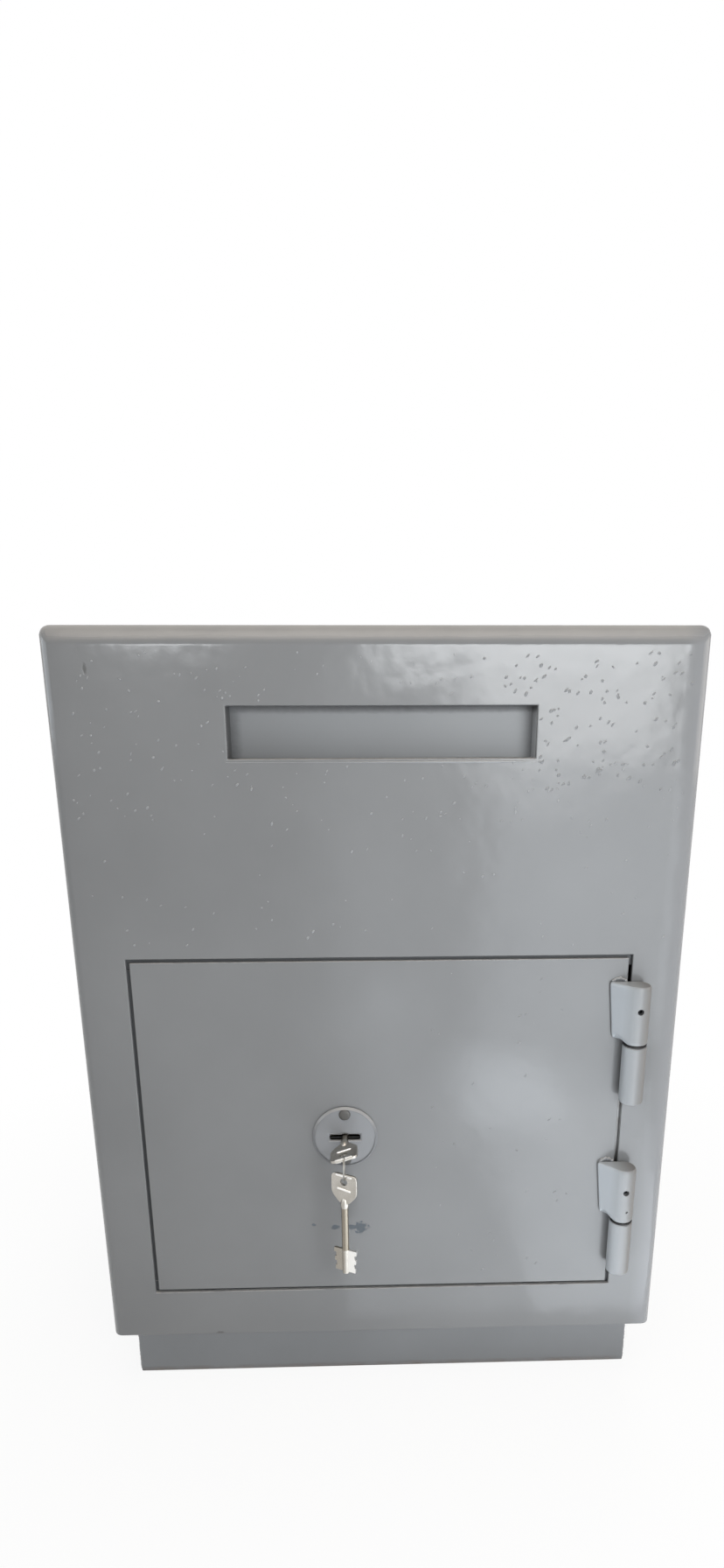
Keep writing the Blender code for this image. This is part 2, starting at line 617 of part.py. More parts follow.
def door_leaf(paint, steel, door):
    """Make the door plate, its stiffeners and the fixed dog bar at its hinge edge."""
    plate = solid("door_plate", block((-DOOR_HALF, FRONT, DOOR_BOTTOM), (DOOR_HALF, PANEL_BACK, DOOR_TOP)),
                  paint, door)
    through = (FRONT - CUT_MARGIN, PANEL_BACK + CUT_MARGIN)
    key_way = rod((LOCK_X, LOCK_Z), "Y", BIT_WIDTH / 2 + KEYHOLE_SIDE_PLAY + KEYHOLE_MARGIN, *through)
    rivet_holes = holes([(LOCK_X, z) for z in RIVET_HEIGHTS.values()], RIVET_SHANK_RADIUS + GAP, *through)
    screw_holes = holes(SCREW_PLACES.values(), SCREW_RADIUS + GAP, PANEL_BACK - SCREW_BITE, through[1])
    carve(plate, merged(key_way, *rivet_holes, *screw_holes))

    half = DOOR_HALF - STIFFENER_INSET
    back = DOOR_BACK + STIFFENER_LEG
    skin = DOOR_BACK + STIFFENER_SHEET
    for name, edge, inward in (("upper", DOOR_TOP - STIFFENER_INSET, -1),
                               ("lower", DOOR_BOTTOM + STIFFENER_INSET, 1)):
        foot = edge + inward * STIFFENER_LEG
        web = edge + inward * STIFFENER_SHEET
        outline = [(DOOR_BACK, edge), (back, edge), (back, web), (skin, web), (skin, foot), (DOOR_BACK, foot)]
        solid("door_stiffener_" + name, prism(outline, "X", -half, half), paint, door)

    end, relief = OPENING_HALF + DOG_REACH, DOOR_HALF - DOG_RELIEF_INSET
    start, back = end - DOG_WIDTH, DOOR_BACK + DOG_THICKNESS
    outline = [(start, DOOR_BACK), (relief, DOOR_BACK), (relief, DOOR_BACK + DOG_RELIEF),
               (end, DOOR_BACK + DOG_RELIEF), (end, back), (start, back)]
    bar = prism(outline, "Z", DOOR_MIDDLE - DOG_HEIGHT / 2, DOOR_MIDDLE + DOG_HEIGHT / 2)
    solid("dog_bar", bar, steel, door)


def escutcheon(paint, steel, door):
    """Make the round plate about the keyhole and its two rivets."""
    back = FRONT - GAP
    front = back - ESCUTCHEON_SHEET
    edge = ESCUTCHEON_CHAMFER
    radius = ESCUTCHEON_RADIUS
    profile = ((radius - edge, front), (radius, front + edge), (radius, back))
    plate = solid("escutcheon", turned((LOCK_X, LOCK_Z), profile, 2 * SIDES), paint, door)
    through = (front - CUT_MARGIN, back + CUT_MARGIN)
    rivet_holes = holes([(LOCK_X, z) for z in RIVET_HEIGHTS.values()], RIVET_SHANK_RADIUS + GAP, *through)
    carve(plate, merged(keyhole(*through), *rivet_holes))
    seat = front - GAP
    shank = [(RIVET_SHANK_RADIUS, seat), (RIVET_SHANK_RADIUS, PANEL_BACK)]
    for name, z in RIVET_HEIGHTS.items():
        profile = dome(RIVET_HEAD_RADIUS, RIVET_HEAD_HEIGHT, seat, -1) + shank
        solid("escutcheon_rivet_" + name, turned((LOCK_X, z), profile, SMALL_SIDES), steel, door)


def lock_case(steel, door):
    """Make the lock's open case, its cover and the four screws that hold both to the door."""
    wall = CASE_WALL
    shell = block((CASE_LEFT, CASE_FRONT, CASE_BOTTOM), (CASE_RIGHT, CASE_BACK, CASE_TOP))
    case = solid("lock_case", shell, steel, door)
    carve(case, block((CASE_LEFT + wall, CASE_FRONT + wall, CASE_BOTTOM + wall),
                      (CASE_RIGHT - wall, CASE_BACK + CUT_MARGIN, CASE_TOP - wall)))
    front_wall = (CASE_FRONT - CUT_MARGIN, CASE_FRONT + wall + CUT_MARGIN)
    bolt_way = block((CASE_LEFT - CUT_MARGIN, BOLT_FRONT - SLIDE_GAP, BOLT_BOTTOM - SLIDE_GAP),
                     (CASE_LEFT + wall + CUT_MARGIN, BOLT_BACK + SLIDE_GAP, BOLT_TOP + SLIDE_GAP))
    screw_ways = holes(SCREW_PLACES.values(), SCREW_RADIUS + GAP, *front_wall)
    carve(case, merged(keyhole(*front_wall), bolt_way, *screw_ways))

    lid = block((CASE_LEFT, COVER_FRONT, CASE_BOTTOM), (CASE_RIGHT, COVER_BACK, CASE_TOP))
    cover = solid("lock_cover", lid, steel, door)
    through = (COVER_FRONT - CUT_MARGIN, COVER_BACK + CUT_MARGIN)
    carve(cover, merged(*holes(SCREW_PLACES.values(), SCREW_RADIUS + GAP, *through)))
    seat = COVER_BACK + GAP
    shank = [(SCREW_RADIUS, seat), (SCREW_RADIUS, PANEL_BACK - SCREW_BITE + GAP)]
    for name, place in SCREW_PLACES.items():
        profile = dome(SCREW_HEAD_RADIUS, SCREW_HEAD_HEIGHT, seat, 1) + shank
        solid("lock_screw_" + name, turned(place, profile, SMALL_SIDES), steel, door)


def lock_levers(steel, brass, door, lever_pivot):
    """Make the post and the levers that the key's bits press down."""
    centre = (LEVER_PIVOT.x, LEVER_PIVOT.z)
    half = LEVER_HEIGHT / 2
    solid("lever_post", rod(centre, "Y", LEVER_POST_RADIUS, CASE_FRONT + CASE_WALL + GAP, COVER_FRONT - GAP),
          steel, door)
    outline = arc(centre, half, -90, 90) + [(LEVER_END, LEVER_TOP), (LEVER_END, LEVER_BOTTOM)]
    pitch = BIT_LENGTH / LEVER_COUNT
    for i in range(LEVER_COUNT):
        start = BIT_FRONT + (i + 0.5) * pitch - LEVER_SHEET / 2
        stop = start + LEVER_SHEET
        lever = solid("lock_lever_%d" % (i + 1), prism(outline, "Y", start, stop), brass, lever_pivot)
        carve(lever, rod(centre, "Y", LEVER_POST_RADIUS + GAP, start - CUT_MARGIN, stop + CUT_MARGIN))


def lock_bolt(steel, door, bolt_slide):
    """Make the bolt, drawn back, and the guide that carries it near the door's edge."""
    bar = block((BOLT_END, BOLT_FRONT, BOLT_BOTTOM), (LOCK_X + BOLT_TAIL, BOLT_BACK, BOLT_TOP))
    bolt = solid("lock_bolt", bar, steel, bolt_slide)
    talon = LOCK_X + TALON_OFFSET
    carve(bolt, block((talon - TALON_WIDTH / 2, BOLT_FRONT - CUT_MARGIN, BOLT_BOTTOM - CUT_MARGIN),
                      (talon + TALON_WIDTH / 2, BOLT_BACK + CUT_MARGIN, BOLT_BOTTOM + TALON_DEPTH)))

    inner_low, inner_high = BOLT_BOTTOM - SLIDE_GAP, BOLT_TOP + SLIDE_GAP
    low, high = inner_low - GUIDE_SHEET, inner_high + GUIDE_SHEET
    foot_back = DOOR_BACK + GUIDE_SHEET
    bridge = BOLT_BACK + SLIDE_GAP
    outline = [
        (DOOR_BACK, low - GUIDE_FOOT), (DOOR_BACK, inner_low), (bridge, inner_low),
        (bridge, inner_high), (DOOR_BACK, inner_high), (DOOR_BACK, high + GUIDE_FOOT),
        (foot_back, high + GUIDE_FOOT), (foot_back, high), (bridge + GUIDE_SHEET, high),
        (bridge + GUIDE_SHEET, low), (foot_back, low), (foot_back, low - GUIDE_FOOT),
    ]
    start = BOLT_END + GUIDE_SETBACK
    solid("bolt_guide", prism(outline, "X", start, start + GUIDE_LENGTH), steel, door)


def key_outline():
    """Return a flat key's outline: x across it and y from the end of its bow to its tip."""
    half_bow, half_neck, half_bit = BOW_WIDTH / 2, BOW_NECK / 2, BIT_WIDTH / 2
    bit_end = KEY_LENGTH - BIT_TIP
    bit_start = bit_end - BIT_LENGTH
    stem = KEY_STEM_WIDTH / 2
    right = arc((half_bow - BOW_ROUND, BOW_ROUND), BOW_ROUND, 270, 360)
    right += [(half_bow, BOW_SHOULDER), (half_neck, BOW_LENGTH)]
    right += [(stem, BOW_LENGTH + half_neck), (stem, bit_start)]
    step = BIT_LENGTH / BIT_STEPS
    for i in range(BIT_STEPS):
        width = half_bit - BIT_STEP_DEPTH * (i % 2)
        right += [(width, bit_start + i * step), (width, bit_start + (i + 1) * step)]
    right += [(stem, bit_end)]
    left = [(-x, y) for x, y in reversed(right)]
    return right + left


def key(name, steel, carrier, place):
    """Make a double-bitted key: a flat blank joined to a round shaft; place puts it in the world."""
    def placed(mesh):
        bmesh.ops.transform(mesh, matrix=place, verts=mesh.verts)
        return mesh

    blank = solid(name, placed(prism(key_outline(), "Z", -KEY_SHEET / 2, KEY_SHEET / 2)), steel, carrier)
    shaft_ends = ((SHAFT_RADIUS, BOW_LENGTH - BOW_NECK / 2), (SHAFT_RADIUS, KEY_LENGTH))
    shaft = turned((0, 0), shaft_ends, SMALL_SIDES)
    carve(blank, placed(shaft), "UNION")
    hole = (0, BOW_RIM + BOW_HOLE_RADIUS)
    carve(blank, placed(rod(hole, "Z", BOW_HOLE_RADIUS, -KEY_SHEET, KEY_SHEET)))


def key_ring(steel, ring_pivot):
    """Make the ring, in the upright plane that holds the lock's axis."""
    mesh = bmesh.new()
    rings = []
    for i in range(SIDES):
        around = Matrix.Rotation(2 * math.pi * i / SIDES, 4, "X")
        section = [Vector((x, 0, RING_RADIUS + z)) for x, z in circle((0, 0), RING_WIRE_RADIUS, WIRE_SIDES)]
        rings.append([mesh.verts.new(RING_CENTRE + around @ point) for point in section])
    for i in range(SIDES):
        near, far = rings[i], rings[(i + 1) % SIDES]
        for j in range(WIRE_SIDES):
            k = (j + 1) % WIRE_SIDES
            mesh.faces.new((near[j], near[k], far[k], far[j]))
    solid("key_ring", mesh, steel, ring_pivot)


def build():
    """Build the whole box."""
    clear_scene()
    paint = finish("grey_enamel", (0.32, 0.33, 0.34), 0.35)
    lock_steel = finish("lock_steel", (0.35, 0.35, 0.35), 0.40, 1.0)
    nickel = finish("key_nickel", (0.62, 0.60, 0.55), 0.28, 1.0)
    rivet_steel = finish("rivet_steel", (0.20, 0.20, 0.20), 0.50, 1.0)
    brass = finish("lever_brass", (0.62, 0.48, 0.22), 0.35, 1.0)

    cabinet = pivot("cabinet", (0, 0, 0))
    door = pivot("door", (HINGE_X, HINGE_Y, 0), cabinet)
    flap_pivot = pivot("flap", FLAP_PIVOT, cabinet)
    lever_pivot = pivot("levers", LEVER_PIVOT, door)
    bolt_slide = pivot("bolt", (BOLT_END, BOLT_FRONT, BOLT_BOTTOM), door)
    lock_turn = pivot("lock_turn", LOCK_AXIS, door)
    ring_pivot = pivot("ring", RING_CENTRE, lock_turn)
    spare_pivot = pivot("spare", SPARE_PIVOT, ring_pivot)

    front_panel(paint, cabinet)
    casing(paint, cabinet)
    plinth(paint, cabinet)
    door_stops(paint, lock_steel, cabinet)
    slot_sleeve(paint, cabinet)
    slot_flap(paint, lock_steel, cabinet, flap_pivot)
    deposit_baffle(paint, cabinet)
    hinges(paint, lock_steel, brass, cabinet, door)
    door_leaf(paint, lock_steel, door)
    escutcheon(paint, rivet_steel, door)
    lock_case(lock_steel, door)
    lock_levers(lock_steel, brass, door, lever_pivot)
    lock_bolt(lock_steel, door, bolt_slide)

    bow_end = Vector((LOCK_X, FRONT - KEY_PROUD, LOCK_Z))
    key("lock_key", nickel, lock_turn, Matrix.Translation(bow_end) @ Matrix.Rotation(-KEY_REST_TURN, 4, "Y"))
    key_ring(nickel, ring_pivot)
    bow_top = Vector((LOCK_X, RIM_Y, SPARE_TOP))
    hanging = Matrix.Rotation(-SPARE_REST_TURN, 4, "Z") @ Matrix.Rotation(-math.pi / 2, 4, "X")
    key("spare_key", nickel, spare_pivot, Matrix.Translation(bow_top) @ hanging)


build()
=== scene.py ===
"""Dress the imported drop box: enamelled sheet steel, weld-on hinges, a riveted lock plate and two keys.

Metres, +Z up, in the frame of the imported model: the front faces -Y, and +X is to the right of a person
who faces it. Every piece's place is in its mesh, so Object coordinates are places on the box at rest.
"""
import json
import logging
import math
from collections.abc import Iterable, Mapping, Sequence
from dataclasses import dataclass, field
from enum import Enum
from typing import Any

import bmesh
import bpy
from mathutils import Matrix, Vector


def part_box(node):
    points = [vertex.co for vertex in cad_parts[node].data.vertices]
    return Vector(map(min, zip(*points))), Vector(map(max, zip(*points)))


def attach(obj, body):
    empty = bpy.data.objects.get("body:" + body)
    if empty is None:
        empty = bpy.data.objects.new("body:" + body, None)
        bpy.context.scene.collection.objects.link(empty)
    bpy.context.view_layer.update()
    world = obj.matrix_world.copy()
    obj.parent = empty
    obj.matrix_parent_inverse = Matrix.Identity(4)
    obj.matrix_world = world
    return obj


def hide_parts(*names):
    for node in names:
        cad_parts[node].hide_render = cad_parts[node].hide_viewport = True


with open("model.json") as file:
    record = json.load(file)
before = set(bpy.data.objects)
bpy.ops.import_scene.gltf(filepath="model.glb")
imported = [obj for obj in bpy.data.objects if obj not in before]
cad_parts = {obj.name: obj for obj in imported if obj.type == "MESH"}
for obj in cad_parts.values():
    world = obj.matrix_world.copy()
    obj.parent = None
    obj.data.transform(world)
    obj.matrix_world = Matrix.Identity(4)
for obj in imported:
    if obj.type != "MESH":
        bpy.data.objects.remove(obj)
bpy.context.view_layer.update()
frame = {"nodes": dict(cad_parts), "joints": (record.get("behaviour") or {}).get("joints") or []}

LOG = logging.getLogger("drop_box")
Point = tuple[float, float]
Place = tuple[float, float, float]
Colour = tuple[float, float, float]

MERGE_DISTANCE = 1e-6
FLAT_ANGLE = math.radians(1)
SHARP_ANGLE = math.radians(35)
SMOOTH_ANGLE = math.radians(42)
EDGE_ATTRIBUTE = "edge"
# The shaft's own tan shares its mark with painted shade on one key bit. The next mark is for painted
# highlights.
SHAFT_TONE_AND_SHADE_ATTRIBUTE = "shaft"
PAINTED_HIGHLIGHT_ATTRIBUTE = "polish"
NOISE_SPAN: Point = (0.3, 0.7)
CORNER_REACH = 0.45
LEAST_MITRE = 0.3
WHITE = (1.0, 1.0, 1.0, 1.0)
KEY_TURN = math.radians(-15)
SPARE_TWIST = math.radians(-25)


class Body(Enum):
    """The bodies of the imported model."""

    CABINET = "cabinet"
    DOOR = "door"
    FLAP = "flap"
    LEVERS = "levers"
    BOLT = "bolt"
    KEY = "key"
    RING = "ring"
    SPARE = "spare"


class Slot(Enum):
    """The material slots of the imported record."""

    ENAMEL = "grey_enamel"
    LOCK_STEEL = "lock_steel"
    NICKEL = "key_nickel"
    RIVET_STEEL = "rivet_steel"
    BRASS = "lever_brass"


class Cut(Enum):
    """How one mesh changes another."""

    ADD = "UNION"
    REMOVE = "DIFFERENCE"


# Node trees


class Graph:
    """A node tree built by short calls that return sockets."""

    def __init__(self, tree: bpy.types.NodeTree) -> None:
        """Keep the tree."""
        self.tree = tree

    def add(self, kind: str, inputs: Mapping[Any, Any] | None = None, **settings: Any) -> bpy.types.Node:
        """Add a node.

        Args:
            kind: the node's type.
            inputs: values or sockets by input name or index.
            settings: the node's own properties.

        Returns:
            The new node.
        """
        node = self.tree.nodes.new(kind)
        for name, value in settings.items():
            setattr(node, name, value)
        for name, value in (inputs or {}).items():
            self.feed(node.inputs[name], value)
        return node

    def feed(self, socket: bpy.types.NodeSocket, value: Any) -> None:
        """Link a socket to an input, or set the input's own value.

        Args:
            socket: the input.
            value: a socket or a value.
        """
        if isinstance(value, bpy.types.NodeSocket):
            self.tree.links.new(value, socket)
        else:
            socket.default_value = value

    def maths(self, operation: str, *values: Any) -> bpy.types.NodeSocket:
        """Return the result of a Math node."""
        return self.add("ShaderNodeMath", dict(enumerate(values)), operation=operation).outputs[0]

    def off_middle(self, value: bpy.types.NodeSocket, middle: float, half: float) -> bpy.types.NodeSocket:
        """Return how far a value lies from a middle, in half sizes."""
        return self.maths("DIVIDE", self.maths("SUBTRACT", value, middle), half)

    def noise(self, place: bpy.types.NodeSocket, size: float, detail: float = 2.0) -> bpy.types.NodeSocket:
        """Return a noise of about the given feature size in metres."""
        inputs = {"Vector": place, "Scale": 1.0 / size, "Detail": detail}
        return self.add("ShaderNodeTexNoise", inputs).outputs["Fac"]

    def spread(self, value: Any, low: float, high: float, first: float = 0.0,
               last: float = 1.0) -> bpy.types.NodeSocket:
        """Map a value from low..high to first..last, held at the ends."""
        inputs = {"Value": value, "From Min": low, "From Max": high, "To Min": first, "To Max": last}
        return self.add("ShaderNodeMapRange", inputs, clamp=True).outputs["Result"]

    def blend(self, share: Any, first: Any, second: Any) -> bpy.types.NodeSocket:
        """Mix two colours.

        Args:
            share: the second colour's share, as a value or a socket.
            first: a colour or a socket.
            second: a colour or a socket.

        Returns:
            The mixed colour's socket.
        """
        node = self.add("ShaderNodeMix", data_type="RGBA")
        self.feed(node.inputs["Factor"], share)
        for name, value in (("A", first), ("B", second)):
            colour = value if isinstance(value, bpy.types.NodeSocket) else (*value, 1.0)
            self.feed(next(s for s in node.inputs if s.name == name and s.type == "RGBA"), colour)
        return next(s for s in node.outputs if s.type == "RGBA")

    def bump(self, height: Any, depth: float, normal: Any = None) -> bpy.types.NodeSocket:
        """Bump a surface.

        Args:
            height: the height's socket.
            depth: what a height of 1 stands for, in metres.
            normal: the normal to bump, or None for the surface's own.

        Returns:
            The bumped normal's socket.
        """
        inputs = {"Height": height, "Distance": depth, "Strength": 1.0}
        if normal is not None:
            inputs["Normal"] = normal
        return self.add("ShaderNodeBump", inputs).outputs["Normal"]


@dataclass(frozen=True)
class Finish:
    """A procedural material: subclasses say how it looks."""

    name: str

    def material(self) -> bpy.types.Material:
        """Make the material once, and find it by its name after that.

        Returns:
            The material.
        """
        made = bpy.data.materials.get(self.name)
        if made is None:
            made = bpy.data.materials.new(self.name)
            made.use_nodes = True
            graph = Graph(made.node_tree)
            shader = made.node_tree.nodes["Principled BSDF"]
            place = graph.add("ShaderNodeTexCoord").outputs["Object"]
            self.paint(graph, shader, place)
        return made

    def paint(self, graph: Graph, shader: bpy.types.Node, place: bpy.types.NodeSocket) -> None:
        """Wire the material's nodes to its shader.

        Args:
            graph: the material's node tree.
            shader: its shader.
            place: the Object coordinates.
        """
        raise NotImplementedError


@dataclass(frozen=True)
class ChipOrShade:
    """A chip, a smudge or a patch of painted shade on a face, by its middle and its half sizes in X and Z.
    """

    middle: Point
    half: Point
    raggedness: float = 0.9
    softness: float = 0.3


@dataclass(frozen=True)
class Roll:
    """How a pressed face starts to fall away before its bends.

    The sides and the top each have a start, out along X or up along Z, and a width over which the fall
    grows.
    """

    side: Point
    top: Point
    fall: float

    def height(self, graph: Graph, axes: bpy.types.bpy_prop_collection) -> bpy.types.NodeSocket:
        """Work out how far the face has fallen.

        Args:
            graph: the material's node tree.
            axes: the X, Y and Z of the Object coordinates.

        Returns:
            The height's socket, in metres and downwards.
        """
        across = self.ramp(graph, graph.maths("ABSOLUTE", axes["X"]), *self.side)
        up = self.ramp(graph, axes["Z"], *self.top)
        return graph.maths("MULTIPLY", graph.maths("ADD", across, up), -self.fall)

    @staticmethod
    def ramp(graph: Graph, out: bpy.types.NodeSocket, start: float, width: float) -> bpy.types.NodeSocket:
        """Make a ramp that curves up from 0 over a width and then runs straight.

        Args:
            graph: the material's node tree.
            out: the place along the ramp.
            start: where the ramp starts.
            width: how far it curves.

        Returns:
            The ramp's socket.
        """
        beyond = graph.maths("MAXIMUM", graph.maths("SUBTRACT", out, start), 0.0)
        near = graph.maths("MINIMUM", beyond, width)
        curve = graph.maths("DIVIDE", graph.maths("MULTIPLY", near, near), 2 * width)
        return graph.maths("ADD", curve, graph.maths("SUBTRACT", beyond, near))


@dataclass(frozen=True)
class PaintedLightRamp:
    """A painted highlight or painted shade along X: the paint turns to its colour from its first place to
    its last.
    """

    first: float
    last: float
    colour: Colour


@dataclass(frozen=True)
class Enamel(Finish):
    """Semi-gloss paint on sheet steel: orange peel, slow waves of the sheet, dust that is also a painted
    sheen on faces that look up, wear, floor grime, painted light along X, and chips with patches of painted
    shade.
    """

    colour: Colour = (0.197, 0.199, 0.201)
    unevenness: float = 0.05
    cloud_size: float = 0.11
    roughness: float = 0.17
    gloss_size: float = 0.05
    gloss_range: Point = (-0.012, 0.018)
    wave_depth: float = 0.0
    wave_size: float = 0.16
    ripple_depth: float = 0.0
    ripple_size: float = 0.030
    peel_depth: float = 0.00003
    peel_size: float = 0.0035
    chips_and_shade: tuple[ChipOrShade, ...] = ()
    chip_or_shade_colour: Colour = (0.085, 0.10, 0.115)
    patch_grain: float = 0.0035
    patch_edge: float = 1.05
    patch_depth: float = 0.00012
    patch_roughness: float = 0.25
    worn_colour: Colour = (0.20, 0.20, 0.205)
    worn_size: float = 0.012
    worn_span: Point = (0.52, 0.66)
    worn_share: float = 0.8
    grime_colour: Colour = (0.13, 0.095, 0.07)
    grime_size: float = 0.02
    grime_span: Point = (0.3, 0.65)
    grime_share: Point = (0.15, 0.95)
    grime_height: float = 0.006
    dust_and_sheen_colour: Colour = (0.405, 0.392, 0.378)
    dust_and_sheen_size: float = 0.03
    dust_and_sheen_slope: Point = (0.08, 0.85)
    dust_and_sheen_share: float = 0.9
    dust_and_sheen_thinnest: float = 0.75
    dirt_roughness: float = 0.3
    roll: Roll | None = None
    painted_light: PaintedLightRamp | None = None

    def chip_or_shade_mask(self, graph: Graph, place: bpy.types.NodeSocket) -> bpy.types.NodeSocket | None:
        """Work out where the chips, smudges and patches of painted shade are.

        Args:
            graph: the material's node tree.
            place: the Object coordinates.

        Returns:
            The socket of a mask from 0 to 1, or None without any patches.
        """
        if not self.chips_and_shade:
            return None
        axes = graph.add("ShaderNodeSeparateXYZ", {0: place}).outputs
        ragged = graph.maths("SUBTRACT", graph.noise(place, self.patch_grain, detail=4.0), 0.5)
        mask: Any = 0.0
        for patch in self.chips_and_shade:
            across = graph.off_middle(axes["X"], patch.middle[0], patch.half[0])
            up = graph.off_middle(axes["Z"], patch.middle[1], patch.half[1])
            squares = [graph.maths("POWER", part, 2.0) for part in (across, up)]
            reach = graph.maths("SQRT", graph.maths("ADD", *squares))
            torn = graph.maths("MULTIPLY_ADD", ragged, 2 * patch.raggedness, reach)
            inside = graph.spread(torn, self.patch_edge - patch.softness, self.patch_edge, 1.0, 0.0)
            mask = graph.maths("MAXIMUM", mask, inside)
        return mask

    def dust_and_sheen(self, graph: Graph, place: bpy.types.NodeSocket) -> bpy.types.NodeSocket:
        """Work out how thick dust lies, most of all on faces that look up. Its pale warm colour there is
        also a painted sheen of the light from above.

        Args:
            graph: the material's node tree.
            place: the Object coordinates.

        Returns:
            The share of the dust and of its painted sheen.
        """
        normal = graph.add("ShaderNodeNewGeometry").outputs["Normal"]
        up = graph.add("ShaderNodeSeparateXYZ", {0: normal}).outputs["Z"]
        lying = graph.spread(up, *self.dust_and_sheen_slope, 0.0, self.dust_and_sheen_share)
        patches = graph.noise(place, self.dust_and_sheen_size, detail=5.0)
        thinned = graph.spread(patches, *NOISE_SPAN, self.dust_and_sheen_thinnest, 1.0)
        return graph.maths("MULTIPLY", lying, thinned)

    def grime(self, graph: Graph, place: bpy.types.NodeSocket,
              height: bpy.types.NodeSocket) -> bpy.types.NodeSocket:
        """Work out where grime from the floor is.

        Args:
            graph: the material's node tree.
            place: the Object coordinates.
            height: the height above the floor.

        Returns:
            The grime's share.
        """
        low = graph.spread(height, 0.0, self.grime_height, 1.0, 0.0)
        patches = graph.noise(place, self.grime_size, detail=4.0)
        thinned = graph.spread(patches, *self.grime_span, *self.grime_share)
        return graph.maths("MULTIPLY", low, thinned)

    def tone(self, graph: Graph, place: bpy.types.NodeSocket, dust_and_sheen: bpy.types.NodeSocket,
             grime: bpy.types.NodeSocket, across: bpy.types.NodeSocket) -> bpy.types.NodeSocket:
        """Lay dust with its painted sheen, painted light along X, wear at the edges and grime over the
        cloudy paint.

        Args:
            graph: the material's node tree.
            place: the Object coordinates.
            dust_and_sheen: the share of the dust and of its painted sheen.
            grime: the grime's share.
            across: the place along X.

        Returns:
            The colour's socket.
        """
        thin = tuple((1 - self.unevenness) * c for c in self.colour)
        thick = tuple((1 + self.unevenness) * c for c in self.colour)
        clouds = graph.spread(graph.noise(place, self.cloud_size, detail=3.0), *NOISE_SPAN)
        # Faces that look up turn pale and warm: dust, and a painted sheen of the light from above.
        colour = graph.blend(dust_and_sheen, graph.blend(clouds, thin, thick), self.dust_and_sheen_colour)
        # Painted light along X: a painted highlight on the front's right bend, painted shade on a hinge
        # barrel's right flank.
        if self.painted_light:
            share = graph.spread(across, self.painted_light.first, self.painted_light.last)
            colour = graph.blend(share, colour, self.painted_light.colour)
        edge = graph.add("ShaderNodeAttribute", attribute_name=EDGE_ATTRIBUTE).outputs["Fac"]
        patches = graph.noise(place, self.worn_size, detail=4.0)
        rubbed = graph.spread(patches, *self.worn_span, 0.0, self.worn_share)
        colour = graph.blend(graph.maths("MULTIPLY", edge, rubbed), colour, self.worn_colour)
        return graph.blend(grime, colour, self.grime_colour)

    def relief(self, graph: Graph, place: bpy.types.NodeSocket,
               axes: bpy.types.bpy_prop_collection) -> bpy.types.NodeSocket:
        """Bump the surface by the sheet's waves and roll and by the paint's orange peel.

        Args:
            graph: the material's node tree.
            place: the Object coordinates.
            axes: their X, Y and Z.

        Returns:
            The normal's socket.
        """
        normal = None
        if self.wave_depth:
            normal = graph.bump(graph.noise(place, self.wave_size, detail=1.0), self.wave_depth)
        if self.ripple_depth:
            normal = graph.bump(graph.noise(place, self.ripple_size), self.ripple_depth, normal)
        if self.roll:
            normal = graph.bump(self.roll.height(graph, axes), 1.0, normal)
        return graph.bump(graph.noise(place, self.peel_size, detail=1.5), self.peel_depth, normal)

    def paint(self, graph: Graph, shader: bpy.types.Node, place: bpy.types.NodeSocket) -> None:
        """Wire the paint's tone, gloss and relief, and then its chips and its patches of painted shade.

        Args:
            graph: the material's node tree.
            shader: its shader.
            place: the Object coordinates.
        """
        axes = graph.add("ShaderNodeSeparateXYZ", {0: place}).outputs
        dust_and_sheen, grime = self.dust_and_sheen(graph, place), self.grime(graph, place, axes["Z"])
        colour = self.tone(graph, place, dust_and_sheen, grime, axes["X"])
        least, most = (self.roughness + change for change in self.gloss_range)
        gloss = graph.spread(graph.noise(place, self.gloss_size), *NOISE_SPAN, least, most)
        gloss = graph.maths("MULTIPLY_ADD", graph.maths("MAXIMUM", grime, dust_and_sheen), self.dirt_roughness, gloss)
        normal = self.relief(graph, place, axes)
        mask = self.chip_or_shade_mask(graph, place)
        if mask is not None:
            # Chips and smudges darken the paint here. So do the patches of painted shade on the flap, the
            # sleeve and the plinth.
            colour = graph.blend(mask, colour, self.chip_or_shade_colour)
            gloss = graph.maths("MULTIPLY_ADD", mask, self.patch_roughness, gloss)
            normal = graph.bump(graph.maths("MULTIPLY", mask, -1.0), self.patch_depth, normal)
        graph.feed(shader.inputs["Base Color"], colour)
        graph.feed(shader.inputs["Roughness"], gloss)
        graph.feed(shader.inputs["Normal"], normal)


